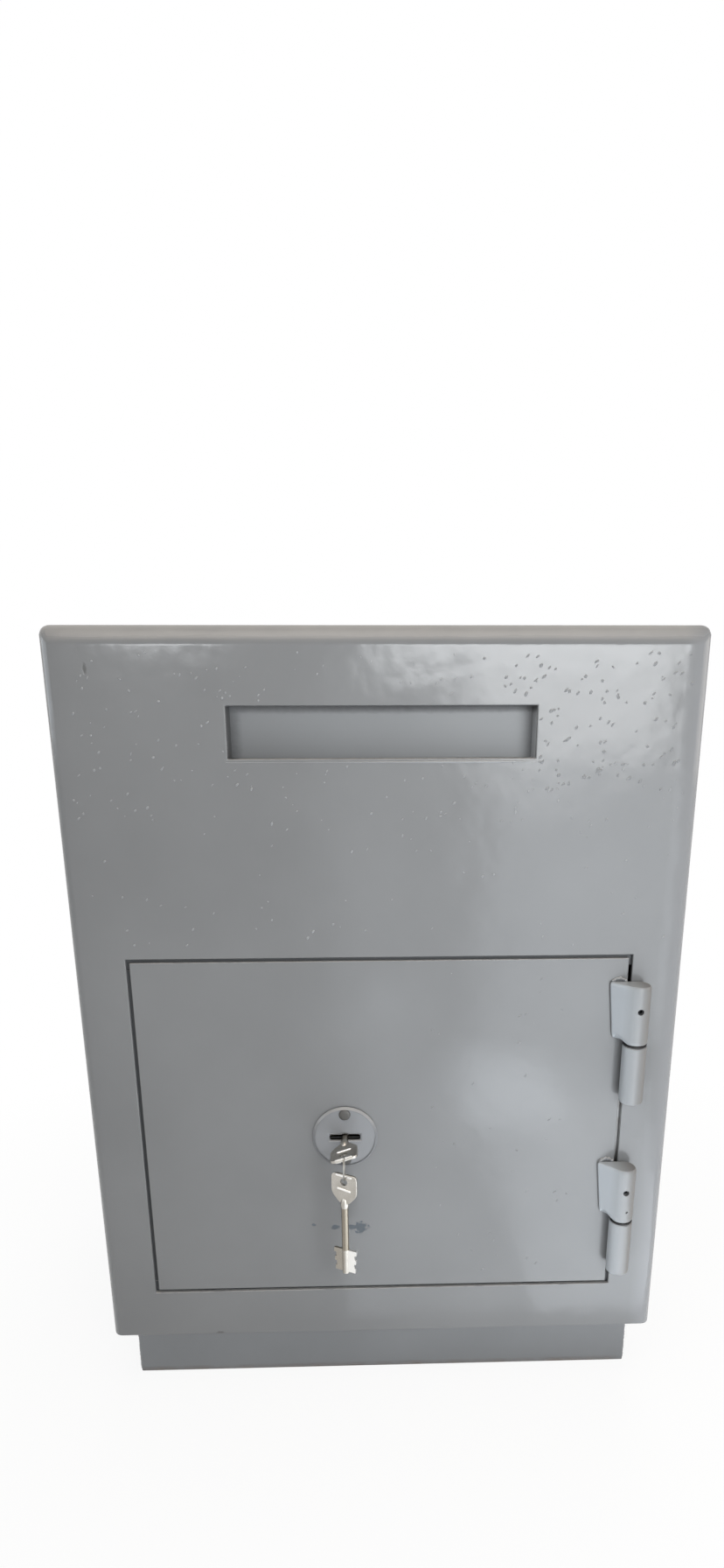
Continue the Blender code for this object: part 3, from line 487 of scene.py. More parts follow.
@dataclass(frozen=True)
class Metal(Finish):
    """Bare metal with a drawn grain, tarnish in patches and brighter rubbed edges."""

    colour: Colour
    tarnish: Colour
    roughness: float
    grain: Place = (1.0, 1.0, 1.0)
    grain_size: float = 0.0012
    grain_depth: float = 0.000012
    grain_span: Point = (0.25, 0.75)
    gloss_range: Point = (-0.07, 0.09)
    tarnish_size: float = 0.009
    tarnish_span: Point = (0.35, 0.7)
    tarnish_share: float = 0.55
    tarnish_roughness: float = 0.16
    edge_tarnish: float = 0.25
    accents: tuple[tuple[str, Colour], ...] = ()

    def paint(self, graph: Graph, shader: bpy.types.Node, place: bpy.types.NodeSocket) -> None:
        """Wire the metal: tarnish and rubbed edges, faces marked for their own tone or for painted shade or
        a painted highlight, then the grain.

        Args:
            graph: the material's node tree.
            shader: its shader.
            place: the Object coordinates.
        """
        stretched = graph.add("ShaderNodeMapping", {"Vector": place, "Scale": self.grain}).outputs["Vector"]
        grain = graph.noise(stretched, self.grain_size)
        spots = graph.noise(place, self.tarnish_size, detail=4.0)
        patches = graph.spread(spots, *self.tarnish_span, 0.0, self.tarnish_share)
        edge = graph.add("ShaderNodeAttribute", attribute_name=EDGE_ATTRIBUTE).outputs["Fac"]
        tarnish = graph.maths("MULTIPLY", patches, graph.spread(edge, 0.0, 1.0, 1.0, self.edge_tarnish))
        colour = graph.blend(tarnish, self.colour, self.tarnish)
        for attribute, tone in self.accents:
            marked = graph.add("ShaderNodeAttribute", attribute_name=attribute).outputs["Fac"]
            colour = graph.blend(marked, colour, tone)
        least, most = (self.roughness + change for change in self.gloss_range)
        gloss = graph.spread(grain, *self.grain_span, least, most)
        gloss = graph.maths("MULTIPLY_ADD", tarnish, self.tarnish_roughness, gloss)
        shader.inputs["Metallic"].default_value = 1.0
        graph.feed(shader.inputs["Base Color"], colour)
        graph.feed(shader.inputs["Roughness"], gloss)
        graph.feed(shader.inputs["Normal"], graph.bump(grain, self.grain_depth))


FRONT_CHIPS = (
    ChipOrShade((-0.2171, 0.6382), (0.0016, 0.0046), 0.5, 0.6),
    ChipOrShade((-0.1520, 0.0565), (0.0036, 0.0017), 0.8),
)
FRONT_ROLL = Roll(side=(0.231, 0.016), top=(0.6537, 0.004), fall=0.14)
PLINTH_SHADE = (ChipOrShade((0.0, 0.0560), (0.9, 0.0075), 0.12, 0.9),)
DOOR_CHIPS = (
    ChipOrShade((-0.0430, 0.1655), (0.0042, 0.0024)),
    ChipOrShade((-0.0270, 0.1650), (0.0060, 0.0026)),
    ChipOrShade((-0.0205, 0.1645), (0.0066, 0.0058), 1.5),
    ChipOrShade((-0.0620, 0.1680), (0.0021, 0.0016), 0.6),
)
# Painted shadow on the flap: a dark band beside the slot's left wall and one under its top edge.
FLAP_PAINTED_SHADOWS = (
    ChipOrShade((-0.1200, 0.5925), (0.0130, 0.0500), 0.15, 1.0),
    ChipOrShade((0.0020, 0.6150), (0.2600, 0.0085), 0.15, 0.8),
)
# Painted shade on the sleeve: darker on its left wall and under its top.
SLEEVE_PAINTED_SHADE = (
    ChipOrShade((-0.1180, 0.5925), (0.0100, 0.0500), 0.1, 0.4),
    ChipOrShade((0.0020, 0.6160), (0.2600, 0.0100), 0.1),
)
# The front's right bend is lightened and blued along X as a painted highlight.
SHEET_ENAMEL = Enamel("enamel_front", wave_depth=0.0011, ripple_depth=0.0006, chips_and_shade=FRONT_CHIPS,
                      chip_or_shade_colour=(0.105, 0.105, 0.103), roll=FRONT_ROLL,
                      painted_light=PaintedLightRamp(0.228, 0.245, (0.252, 0.255, 0.262)))
DOOR_ENAMEL = Enamel("enamel_door", wave_depth=0.0016, wave_size=0.13, ripple_depth=0.0003,
                     chips_and_shade=DOOR_CHIPS)
CASING_ENAMEL = Enamel("enamel_casing", roughness=0.42, wave_depth=0.0012, ripple_depth=0.0003)
PLINTH_ENAMEL = Enamel("enamel_plinth", colour=(0.215, 0.221, 0.228), wave_depth=0.0008, chips_and_shade=PLINTH_SHADE,
                       chip_or_shade_colour=(0.165, 0.168, 0.172))
FLAP_ENAMEL = Enamel("enamel_flap", colour=(0.242, 0.246, 0.25), roughness=0.40, chips_and_shade=FLAP_PAINTED_SHADOWS,
                     chip_or_shade_colour=(0.092, 0.093, 0.095))
# The sleeve's paint is lighter than the front's same paint, as painted light on the slot's inner walls.
# Painted shade lies over it.
SLEEVE_PAINTED_LIGHT_ENAMEL = Enamel("enamel_sleeve", colour=(0.42, 0.425, 0.43), roughness=0.46, chips_and_shade=SLEEVE_PAINTED_SHADE,
                       chip_or_shade_colour=(0.10, 0.101, 0.103))
# The hinges' paint is lighter and bluer than the door's same paint, which is painted light. The ramp along
# X darkens each barrel's right flank as painted shade.
HINGE_PAINTED_LIGHT_ENAMEL = Enamel("enamel_hinge", colour=(0.40, 0.425, 0.45), roughness=0.34, peel_depth=0.00005,
                      dust_and_sheen_share=0.2, painted_light=PaintedLightRamp(0.199, 0.218, (0.172, 0.164, 0.156)))
# The lock plate's paint is lighter than the door's same paint: painted light.
PLATE_PAINTED_LIGHT_ENAMEL = Enamel("enamel_lock_plate", colour=(0.245, 0.25, 0.26), roughness=0.20)
# The stops are near black so that the gap round the door reads dark: painted shade.
STOP_SHADE_ENAMEL = Enamel("enamel_stops", colour=(0.07, 0.072, 0.075), roughness=0.5)
INNER_ENAMEL = Enamel("enamel_inside", colour=(0.23, 0.235, 0.24), roughness=0.42)
# Nibs and the slot's lip are lighter than the paint they lie in: painted highlights.
NIB_HIGHLIGHT_ENAMEL = Enamel("enamel_nibs", colour=(0.27, 0.275, 0.28), roughness=0.26)
SPECK_ENAMEL = Enamel("enamel_specks", colour=(0.205, 0.209, 0.214), roughness=0.42)
BEAD_ENAMEL = Enamel("enamel_weld", colour=(0.24, 0.245, 0.25), roughness=0.36, peel_depth=0.00008)
LOCK_STEEL = Metal("steel_lock", (0.40, 0.40, 0.40), (0.22, 0.20, 0.175), 0.36, (1.0, 8.0, 8.0))
CASE_STEEL = Metal("steel_lock_case", (0.10, 0.098, 0.095), (0.055, 0.052, 0.05), 0.45)
KEY_NICKEL = Metal(
    "nickel_key", (0.50, 0.477, 0.437), (0.30, 0.275, 0.235), 0.26, grain=(6.0, 6.0, 1.0),
    grain_size=0.0009, grain_depth=0.000008, tarnish_size=0.011, tarnish_share=0.5,
    # The shaft's tan is its own. The same mark darkens one bit as painted shade, and the bars and the other
    # bit get a painted highlight.
    accents=((SHAFT_TONE_AND_SHADE_ATTRIBUTE, (0.27, 0.24, 0.195)), (PAINTED_HIGHLIGHT_ATTRIBUTE, (0.88, 0.87, 0.84))),
)
RIVET_STEEL = Metal("steel_rivet", (0.125, 0.122, 0.117), (0.085, 0.082, 0.077), 0.58)
LEVER_BRASS = Metal("brass_lever", (0.62, 0.48, 0.22), (0.30, 0.20, 0.09), 0.32, (1.0, 6.0, 6.0))
GREASED_STEEL = Metal("steel_greased", (0.030, 0.030, 0.031), (0.018, 0.018, 0.019), 0.55)
RING_STEEL = Metal("steel_ring", (0.30, 0.29, 0.27), (0.17, 0.16, 0.14), 0.34)
GREASED_BRASS = Metal("brass_greased", (0.055, 0.053, 0.052), (0.025, 0.025, 0.026), 0.5)


# Meshes


def arc(centre: Point, radius: float, start: float, stop: float, steps: int) -> list[Point]:
    """Return points on an arc, with its angles in degrees."""
    angles = [math.radians(start + (stop - start) * i / steps) for i in range(steps + 1)]
    return [(centre[0] + radius * math.cos(a), centre[1] + radius * math.sin(a)) for a in angles]


def circle(centre: Point, radius: float, sides: int) -> list[Point]:
    """Return points round a circle."""
    return arc(centre, radius, 0, 360, sides)[:-1]


def mirrored(right: Sequence[Point]) -> list[Point]:
    """Return a closed outline from its right half, which runs from the bottom up."""
    return list(right) + [(-x, y) for x, y in reversed(right)]


def rounded(outline: Sequence[Point], radius: float, steps: int = 4) -> list[Point]:
    """Round the corners of a closed outline.

    Args:
        outline: its corners in order.
        radius: how far along its sides a corner starts to turn.
        steps: points that each corner is turned through.

    Returns:
        The finer outline.
    """
    made = []
    for i, corner in enumerate(outline):
        here = Vector(corner)
        back = Vector(outline[i - 1]) - here
        onward = Vector(outline[(i + 1) % len(outline)]) - here
        start = here + back.normalized() * min(radius, CORNER_REACH * back.length)
        stop = here + onward.normalized() * min(radius, CORNER_REACH * onward.length)
        for k in range(steps + 1):
            t = k / steps
            made.append(tuple((1 - t) ** 2 * start + 2 * t * (1 - t) * here + t ** 2 * stop))
    return made


def inset(outline: Sequence[Point], amount: float) -> list[Point]:
    """Draw an outline in.

    Args:
        outline: its corners, counter-clockwise.
        amount: how far it is drawn in.

    Returns:
        The smaller outline.
    """
    made = []
    for i, corner in enumerate(outline):
        before = (Vector(corner) - Vector(outline[i - 1])).normalized()
        after = (Vector(outline[(i + 1) % len(outline)]) - Vector(corner)).normalized()
        first, second = Vector((-before.y, before.x)), Vector((-after.y, after.x))
        shift = (first + second) / max(1 + first.dot(second), LEAST_MITRE)
        made.append((corner[0] + shift.x * amount, corner[1] + shift.y * amount))
    return made


def skin_rings(mesh: bmesh.types.BMesh, rings: Sequence[Sequence[Place]]) -> None:
    """Join rings of places by bands of faces, with a cap at each end.

    Args:
        mesh: the mesh that gets the faces.
        rings: the rings in order, all with as many places.
    """
    loops = [[mesh.verts.new(place) for place in ring] for ring in rings]
    mesh.faces.new(loops[0])
    mesh.faces.new(loops[-1])
    for near, far in zip(loops, loops[1:]):
        for i in range(len(near)):
            j = (i + 1) % len(near)
            mesh.faces.new((near[i], near[j], far[j], far[i]))
    bmesh.ops.recalc_face_normals(mesh, faces=mesh.faces)


def plate(outline: Sequence[Point], low: float, high: float, rim: float, steps: int = 3,
          fall: float | None = None) -> bmesh.types.BMesh:
    """Extrude an outline in X and Y along Z, with its rims rounded.

    Args:
        outline: counter-clockwise corners.
        low: its lower face.
        high: its upper face.
        rim: the rims' radius.
        steps: faces round each rim.
        fall: how far the rims run along Z, or None for round ones.

    Returns:
        The closed mesh.
    """
    drop = fall or rim
    turns = [math.pi / 2 * i / steps for i in range(steps + 1)]
    levels = [(rim * (1 - math.sin(a)), low + drop * (1 - math.cos(a))) for a in turns]
    levels += [(rim * (1 - math.sin(a)), high - drop * (1 - math.cos(a))) for a in reversed(turns)]
    mesh = bmesh.new()
    skin_rings(mesh, [[(x, y, z) for x, y in inset(outline, draw)] for draw, z in levels])
    return mesh


def turned(profile: Sequence[Point], sides: int) -> bmesh.types.BMesh:
    """Turn a profile about the Y axis.

    Args:
        profile: pairs of a radius and a place along Y.
        sides: faces round the axis.

    Returns:
        The closed mesh.
    """
    mesh = bmesh.new()
    skin_rings(mesh, [[(x, y, z) for x, z in circle((0, 0), radius, sides)] for radius, y in profile])
    return mesh


def moved(mesh: bmesh.types.BMesh, matrix: Matrix) -> bmesh.types.BMesh:
    """Move a mesh and return it."""
    bmesh.ops.transform(mesh, matrix=matrix, verts=mesh.verts)
    return mesh


def as_data(mesh: bmesh.types.BMesh, name: str) -> bpy.types.Mesh:
    """Turn a working mesh into mesh data.

    Args:
        mesh: the working mesh, which is freed.
        name: the data's name.

    Returns:
        The mesh data.
    """
    data = bpy.data.meshes.new(name)
    mesh.to_mesh(data)
    mesh.free()
    return data


def temporary(data: bpy.types.Mesh, name: str) -> bpy.types.Object:
    """Make an object that is used only while a piece is made.

    Args:
        data: its mesh.
        name: its name.

    Returns:
        The object, in the scene.
    """
    made = bpy.data.objects.new(name, data)
    bpy.context.scene.collection.objects.link(made)
    return made


def evaluated(made: bpy.types.Object, name: str) -> bpy.types.Mesh:
    """Take an object's mesh after its modifiers, and remove the object.

    Args:
        made: the object.
        name: the result's name.

    Returns:
        The plain mesh.
    """
    graph = bpy.context.evaluated_depsgraph_get()
    data = bpy.data.meshes.new_from_object(made.evaluated_get(graph))
    data.name = name
    bpy.data.objects.remove(made, do_unlink=True)
    return data


def combined(base: bmesh.types.BMesh, tools: Iterable[tuple[bmesh.types.BMesh, Cut]],
             name: str) -> bpy.types.Mesh:
    """Join meshes to a base or cut them out of it.

    Args:
        base: the mesh to change.
        tools: meshes and what each does.
        name: the result's name.

    Returns:
        One closed mesh.
    """
    made = temporary(as_data(base, name), name)
    helpers = []
    for mesh, cut in tools:
        helper = temporary(as_data(mesh, name + "_tool"), name + "_tool")
        step = made.modifiers.new(cut.name, "BOOLEAN")
        step.operation = cut.value
        step.solver = "EXACT"
        step.object = helper
        helpers.append(helper)
    data = evaluated(made, name)
    for helper in helpers:
        bpy.data.objects.remove(helper, do_unlink=True)
    return data


def shaded(data: bpy.types.Mesh) -> bpy.types.Mesh:
    """Shade a mesh smooth over its bends and flat on its flats.

    Args:
        data: the mesh.

    Returns:
        The shaded mesh.
    """
    data.shade_smooth()
    data.set_sharp_from_angle(angle=SMOOTH_ANGLE)
    made = temporary(data, data.name)
    step = made.modifiers.new("flats", "WEIGHTED_NORMAL")
    step.keep_sharp = True
    return evaluated(made, data.name)


def softened(node: str, edge: float, steps: int = 3) -> bpy.types.Mesh:
    """Copy a CAD node with its sharp edges rounded and marked.

    Args:
        node: the node's name.
        edge: the radius of the rounding.
        steps: faces round each edge.

    Returns:
        The mesh, with a face attribute that is 1 on its edges.
    """
    mesh = bmesh.new()
    mesh.from_mesh(frame["nodes"][node].data)
    bmesh.ops.remove_doubles(mesh, verts=mesh.verts, dist=MERGE_DISTANCE)
    bmesh.ops.dissolve_limit(mesh, angle_limit=FLAT_ANGLE, verts=mesh.verts, edges=mesh.edges)
    layer = mesh.faces.layers.float.new(EDGE_ATTRIBUTE)
    sharp = [e for e in mesh.edges if e.is_manifold and e.calc_face_angle(0.0) > SHARP_ANGLE]
    made = bmesh.ops.bevel(mesh, geom=sharp, offset=edge, offset_type="OFFSET", segments=steps, profile=0.5,
                           affect="EDGES", clamp_overlap=False)
    for face in made["faces"]:
        face[layer] = 1.0
    return shaded(as_data(mesh, node))


def install(name: str, data: bpy.types.Mesh, finish: Finish, body: Body,
            nodes: Sequence[str] = ()) -> bpy.types.Object:
    """Put a finished mesh in the scene, on its body and in place of its CAD nodes.

    Args:
        name: the piece's name.
        data: its mesh, in place.
        finish: what it is covered with.
        body: what it moves with.
        nodes: the CAD nodes that it stands for.

    Returns:
        The piece.
    """
    data.name = name
    data.materials.clear()
    data.materials.append(finish.material())
    piece = bpy.data.objects.new(name, data)
    bpy.context.scene.collection.objects.link(piece)
    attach(piece, body.value)
    if nodes:
        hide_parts(*nodes)
    LOG.info("%s on %s: %d faces", name, body.value, len(data.polygons))
    return piece


def dress(node: str, finish: Finish, body: Body, edge: float) -> bpy.types.Object:
    """Replace a CAD node by a copy of it with rounded edges and a finish."""
    return install(node + "_finished", softened(node, edge), finish, body, (node,))


def joint_place(name: str) -> Vector:
    """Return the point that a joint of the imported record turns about."""
    return Vector(next(j for j in frame["joints"] if j["name"] == name)["pos_m"])


# Geometry Nodes


class GrowTree:
    """A Geometry Nodes tree with named inputs, whose result becomes a plain mesh."""

    def __init__(self, name: str, sockets: Mapping[str, str]) -> None:
        """Make the tree's interface.

        Args:
            name: the tree's name.
            sockets: the type of each named input.
        """
        self.tree = bpy.data.node_groups.new(name, "GeometryNodeTree")
        self.tree.interface.new_socket(name="Geometry", in_out="INPUT", socket_type="NodeSocketGeometry")
        self.identifiers = {
            label: self.tree.interface.new_socket(name=label, in_out="INPUT", socket_type=kind).identifier
            for label, kind in sockets.items()
        }
        self.tree.interface.new_socket(name="Geometry", in_out="OUTPUT", socket_type="NodeSocketGeometry")
        self.graph = Graph(self.tree)
        self.inputs = self.graph.add("NodeGroupInput").outputs

    def end(self, geometry: bpy.types.NodeSocket) -> None:
        """Realize the instances, shade them smooth, give them their material and end the tree.

        Args:
            geometry: what the tree has grown.
        """
        real = self.graph.add("GeometryNodeRealizeInstances", {"Geometry": geometry}).outputs["Geometry"]
        smooth = self.graph.add("GeometryNodeSetShadeSmooth", {"Geometry": real}).outputs["Geometry"]
        inputs = {"Geometry": smooth, "Material": self.inputs["Material"]}
        covered = self.graph.add("GeometryNodeSetMaterial", inputs).outputs["Geometry"]
        self.graph.add("NodeGroupOutput", {"Geometry": covered})

    def grow(self, base: bpy.types.Mesh, name: str, values: Mapping[str, Any]) -> bpy.types.Mesh:
        """Run the tree on a base mesh.

        Args:
            base: the mesh that it grows on.
            name: the result's name.
            values: the values of its named inputs.

        Returns:
            The grown mesh.
        """
        made = temporary(base, name + "_base")
        step = made.modifiers.new("grow", "NODES")
        step.node_group = self.tree
        for label, value in values.items():
            step[self.identifiers[label]] = value
        return evaluated(made, name)


class NibTree(GrowTree):
    """Dust nibs under the paint: flattened drops scattered over faces, all leaning one way."""

    SEGMENTS = 8
    RINGS = 5

    def __init__(self) -> None:
        """Build the tree."""
        super().__init__("paint_nibs", {
            "Density": "NodeSocketFloat", "Seed": "NodeSocketInt", "Least": "NodeSocketVector",
            "Most": "NodeSocketVector", "Lean": "NodeSocketVector", "Sway": "NodeSocketVector",
            "Material": "NodeSocketMaterial",
        })
        graph, inputs = self.graph, self.inputs
        points = graph.add("GeometryNodeDistributePointsOnFaces", {
            "Mesh": inputs["Geometry"], "Density": inputs["Density"], "Seed": inputs["Seed"],
        }).outputs["Points"]
        drop = graph.add("GeometryNodeMeshUVSphere", {
            "Segments": self.SEGMENTS, "Rings": self.RINGS, "Radius": 1.0,
        }).outputs["Mesh"]
        placed = graph.add("GeometryNodeInstanceOnPoints", {
            "Points": points, "Instance": drop, "Rotation": self.between(inputs["Lean"], inputs["Sway"]),
            "Scale": self.between(inputs["Least"], inputs["Most"]),
        }).outputs["Instances"]
        self.end(placed)

    def between(self, low: bpy.types.NodeSocket, high: bpy.types.NodeSocket) -> bpy.types.NodeSocket:
        """Draw a random vector for each instance.

        Args:
            low: its least values.
            high: its greatest values.

        Returns:
            The vector's socket.
        """
        node = self.graph.add("FunctionNodeRandomValue", data_type="FLOAT_VECTOR")
        vectors = [s for s in node.inputs if s.type == "VECTOR"]
        self.graph.feed(vectors[0], low)
        self.graph.feed(vectors[1], high)
        self.graph.feed(next(s for s in node.inputs if s.name == "Seed"), self.inputs["Seed"])
        return next(s for s in node.outputs if s.type == "VECTOR")


class BeadTree(GrowTree):
    """A weld bead: overlapping drops of metal along the edges of a wire."""

    SEGMENTS = 10
    RINGS = 6

    def __init__(self) -> None:
        """Build the tree."""
        super().__init__("weld_bead", {
            "Pitch": "NodeSocketFloat", "Radius": "NodeSocketFloat", "Unevenness": "NodeSocketFloat",
            "Seed": "NodeSocketInt", "Material": "NodeSocketMaterial",
        })
        graph, inputs = self.graph, self.inputs
        curve = graph.add("GeometryNodeMeshToCurve", {"Mesh": inputs["Geometry"]}).outputs["Curve"]
        paced = graph.add("GeometryNodeResampleCurve", mode="LENGTH")
        graph.feed(paced.inputs["Curve"], curve)
        graph.feed(paced.inputs["Length"], inputs["Pitch"])
        drop = graph.add("GeometryNodeMeshUVSphere", {
            "Segments": self.SEGMENTS, "Rings": self.RINGS, "Radius": inputs["Radius"],
        }).outputs["Mesh"]
        least = graph.maths("SUBTRACT", 1.0, inputs["Unevenness"])
        most = graph.maths("ADD", 1.0, inputs["Unevenness"])
        size = graph.add("FunctionNodeRandomValue", data_type="FLOAT")
        floats = [s for s in size.inputs if s.type == "VALUE" and s.name in ("Min", "Max")]
        graph.feed(floats[0], least)
        graph.feed(floats[1], most)
        graph.feed(next(s for s in size.inputs if s.name == "Seed"), inputs["Seed"])
        placed = graph.add("GeometryNodeInstanceOnPoints", {
            "Points": paced.outputs["Curve"], "Instance": drop,
            "Scale": next(s for s in size.outputs if s.type == "VALUE"),
        }).outputs["Instances"]
        self.end(placed)


class StampTree(GrowTree):
    """One small part repeated at the corners of a mesh, each turned by the corner's own angle about Y."""

    TURN = "turn"

    def __init__(self) -> None:
        """Build the tree."""
        super().__init__("fasteners", {"Part": "NodeSocketObject", "Material": "NodeSocketMaterial"})
        graph, inputs = self.graph, self.inputs
        part = graph.add("GeometryNodeObjectInfo", {"Object": inputs["Part"]}).outputs["Geometry"]
        turn = graph.add("GeometryNodeInputNamedAttribute", {"Name": self.TURN}, data_type="FLOAT")
        about = graph.add("ShaderNodeCombineXYZ", {"Y": turn.outputs["Attribute"]}).outputs["Vector"]
        placed = graph.add("GeometryNodeInstanceOnPoints", {
            "Points": inputs["Geometry"], "Instance": part, "Rotation": about,
        }).outputs["Instances"]
        self.end(placed)

    def repeat(self, part: bpy.types.Mesh, places: Sequence[Place], turns: Sequence[float], name: str,
               finish: Finish) -> bpy.types.Mesh:
        """Repeat a part.

        Args:
            part: its mesh, about the origin.
            places: where each copy goes.
            turns: how far each is turned about Y.
            name: the result's name.
            finish: what the copies are covered with.

        Returns:
            One mesh of all the copies.
        """
        base = bpy.data.meshes.new(name)
        base.from_pydata(list(places), [], [])
        base.attributes.new(self.TURN, "FLOAT", "POINT").data.foreach_set("value", list(turns))
        holder = temporary(part, name + "_part")
        data = self.grow(base, name, {"Part": holder, "Material": finish.material()})
        bpy.data.objects.remove(holder, do_unlink=True)
        return data


@dataclass
class Kit:
    """The Geometry Nodes trees that the assemblies share."""

    nibs: NibTree = field(default_factory=NibTree)
    beads: BeadTree = field(default_factory=BeadTree)
    stamps: StampTree = field(default_factory=StampTree)
    bead_pitch: float = 0.8
    bead_unevenness: float = 0.22

    def bead(self, paths: Sequence[Sequence[Place]], radius: float, seed: int, name: str) -> bpy.types.Mesh:
        """Lay weld beads along several paths.

        Args:
            paths: the places along each path.
            radius: the beads' radius.
            seed: the seed of their unevenness.
            name: the result's name.

        Returns:
            One mesh of all the beads.
        """
        places = [place for path in paths for place in path]
        edges, start = [], 0
        for path in paths:
            edges += [(start + i, start + i + 1) for i in range(len(path) - 1)]
            start += len(path)
        wire = bpy.data.meshes.new(name)
        wire.from_pydata(places, edges, [])
        return self.beads.grow(wire, name, {
            "Pitch": self.bead_pitch * radius, "Radius": radius, "Unevenness": self.bead_unevenness,
            "Seed": seed, "Material": BEAD_ENAMEL.material(),
        })


# Assemblies


@dataclass
class Casing:
    """The welded body: the bent front, the wrap of sides and top, the back and the floor."""

    kit: Kit
    edge: float = 0.0008
    stitch_length: float = 0.028
    stitch_pitch: float = 0.095
    bead_radius: float = 0.0022
    bead_seed: int = 7

    def build(self) -> None:
        """Build and dress the body's sheets and the stitch welds at the back."""
        dress("front_panel", SHEET_ENAMEL, Body.CABINET, self.edge)
        for node in ("body_wrap", "back_panel"):
            dress(node, CASING_ENAMEL, Body.CABINET, self.edge)
        dress("floor_plate", INNER_ENAMEL, Body.CABINET, self.edge)
        data = self.kit.bead(self.stitches(), self.bead_radius, self.bead_seed, "back_welds")
        install("back_welds", data, BEAD_ENAMEL, Body.CABINET)

    def stitches(self) -> list[list[Place]]:
        """Place short runs along the seam between the back panel and the wrap.

        Returns:
            The two ends of each run.
        """
        low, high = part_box("back_panel")
        runs = []
        for fixed in (low.x, high.x):
            runs += [[(fixed, high.y, z), (fixed, high.y, z + self.stitch_length)]
                     for z in self.starts(low.z, high.z)]
        runs += [[(x, high.y, high.z), (x + self.stitch_length, high.y, high.z)]
                 for x in self.starts(low.x, high.x)]
        return runs

    def starts(self, low: float, high: float) -> list[float]:
        """Space the runs of a seam evenly about its middle.

        Args:
            low: where the seam starts.
            high: where it ends.

        Returns:
            Where each run starts.
        """
        count = int((high - low) // self.stitch_pitch)
        first = (low + high) / 2 - ((count - 1) * self.stitch_pitch + self.stitch_length) / 2
        return [first + i * self.stitch_pitch for i in range(count)]


@dataclass
class Plinth:
    """The four rails that the body stands on, welded at their corners."""

    kit: Kit
    edge: float = 0.0014
    bead_radius: float = 0.0014
    bead_seed: int = 11

    def build(self) -> None:
        """Build and dress the rails and the welds up their corners."""
        for side in ("front", "rear", "left", "right"):
            dress("plinth_" + side, PLINTH_ENAMEL, Body.CABINET, self.edge)
        left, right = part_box("plinth_left"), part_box("plinth_right")
        paths = [[(x, y, left[0].z + self.bead_radius), (x, y, left[1].z - self.bead_radius)]
                 for x in (left[0].x, right[1].x) for y in (left[0].y, left[1].y)]
        data = self.kit.bead(paths, self.bead_radius, self.bead_seed, "plinth_welds")
        install("plinth_welds", data, PLINTH_ENAMEL, Body.CABINET)


@dataclass
class DepositSlot:
    """The slot's sleeve, its flap on a rod, and the baffle under it."""

    edge: float = 0.0006
    rod_edge: float = 0.0004
    lip_steps: int = 40
    lip_radius: Point = (0.00022, 0.0011)
    lip_sides: int = 12

    def build(self) -> None:
        """Build and dress the slot's pieces."""
        install("slot_lip", self.lip(), NIB_HIGHLIGHT_ENAMEL, Body.CABINET)
        dress("slot_sleeve", SLEEVE_PAINTED_LIGHT_ENAMEL, Body.CABINET, self.edge)
        dress("slot_flap", FLAP_ENAMEL, Body.FLAP, self.edge)
        for node in ("flap_bracket_left", "flap_bracket_right", "deposit_baffle"):
            dress(node, INNER_ENAMEL, Body.CABINET, self.edge)
        dress("flap_rod", LOCK_STEEL, Body.CABINET, self.rod_edge)

    def lip(self) -> bpy.types.Mesh:
        """Make the bead of paint on the slot's lower edge, which thickens and thins towards the right,
        painted lighter as a highlight.

        Returns:
            The mesh, in place.
        """
        low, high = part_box("slot_sleeve")
        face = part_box("front_panel")[0].y
        least, most = self.lip_radius
        rings = []
        for i in range(self.lip_steps + 1):
            share = i / self.lip_steps
            radius = least + (most - least) * math.sin(math.pi * share ** 3)
            x = low.x + most + share * (high.x - low.x - 2 * most)
            rings.append([(x, face + y, low.z + z) for y, z in circle((0, 0), radius, self.lip_sides)])
        mesh = bmesh.new()
        skin_rings(mesh, rings)
        return shaded(as_data(mesh, "slot_lip"))


@dataclass
class DoorLeaf:
    """The door plate with what stiffens it, and the stops that it closes on."""

    edge: float = 0.0007

    def build(self) -> None:
        """Build and dress the door and its stops."""
        dress("door_plate", DOOR_ENAMEL, Body.DOOR, self.edge)
        for node in ("door_stiffener_upper", "door_stiffener_lower"):
            dress(node, INNER_ENAMEL, Body.DOOR, self.edge)
        dress("dog_bar", LOCK_STEEL, Body.DOOR, self.edge)
        for node in ("door_stop_top", "door_stop_bottom", "door_stop_left"):
            dress(node, STOP_SHADE_ENAMEL, Body.CABINET, self.edge)
        dress("bolt_keeper", LOCK_STEEL, Body.CABINET, self.edge)


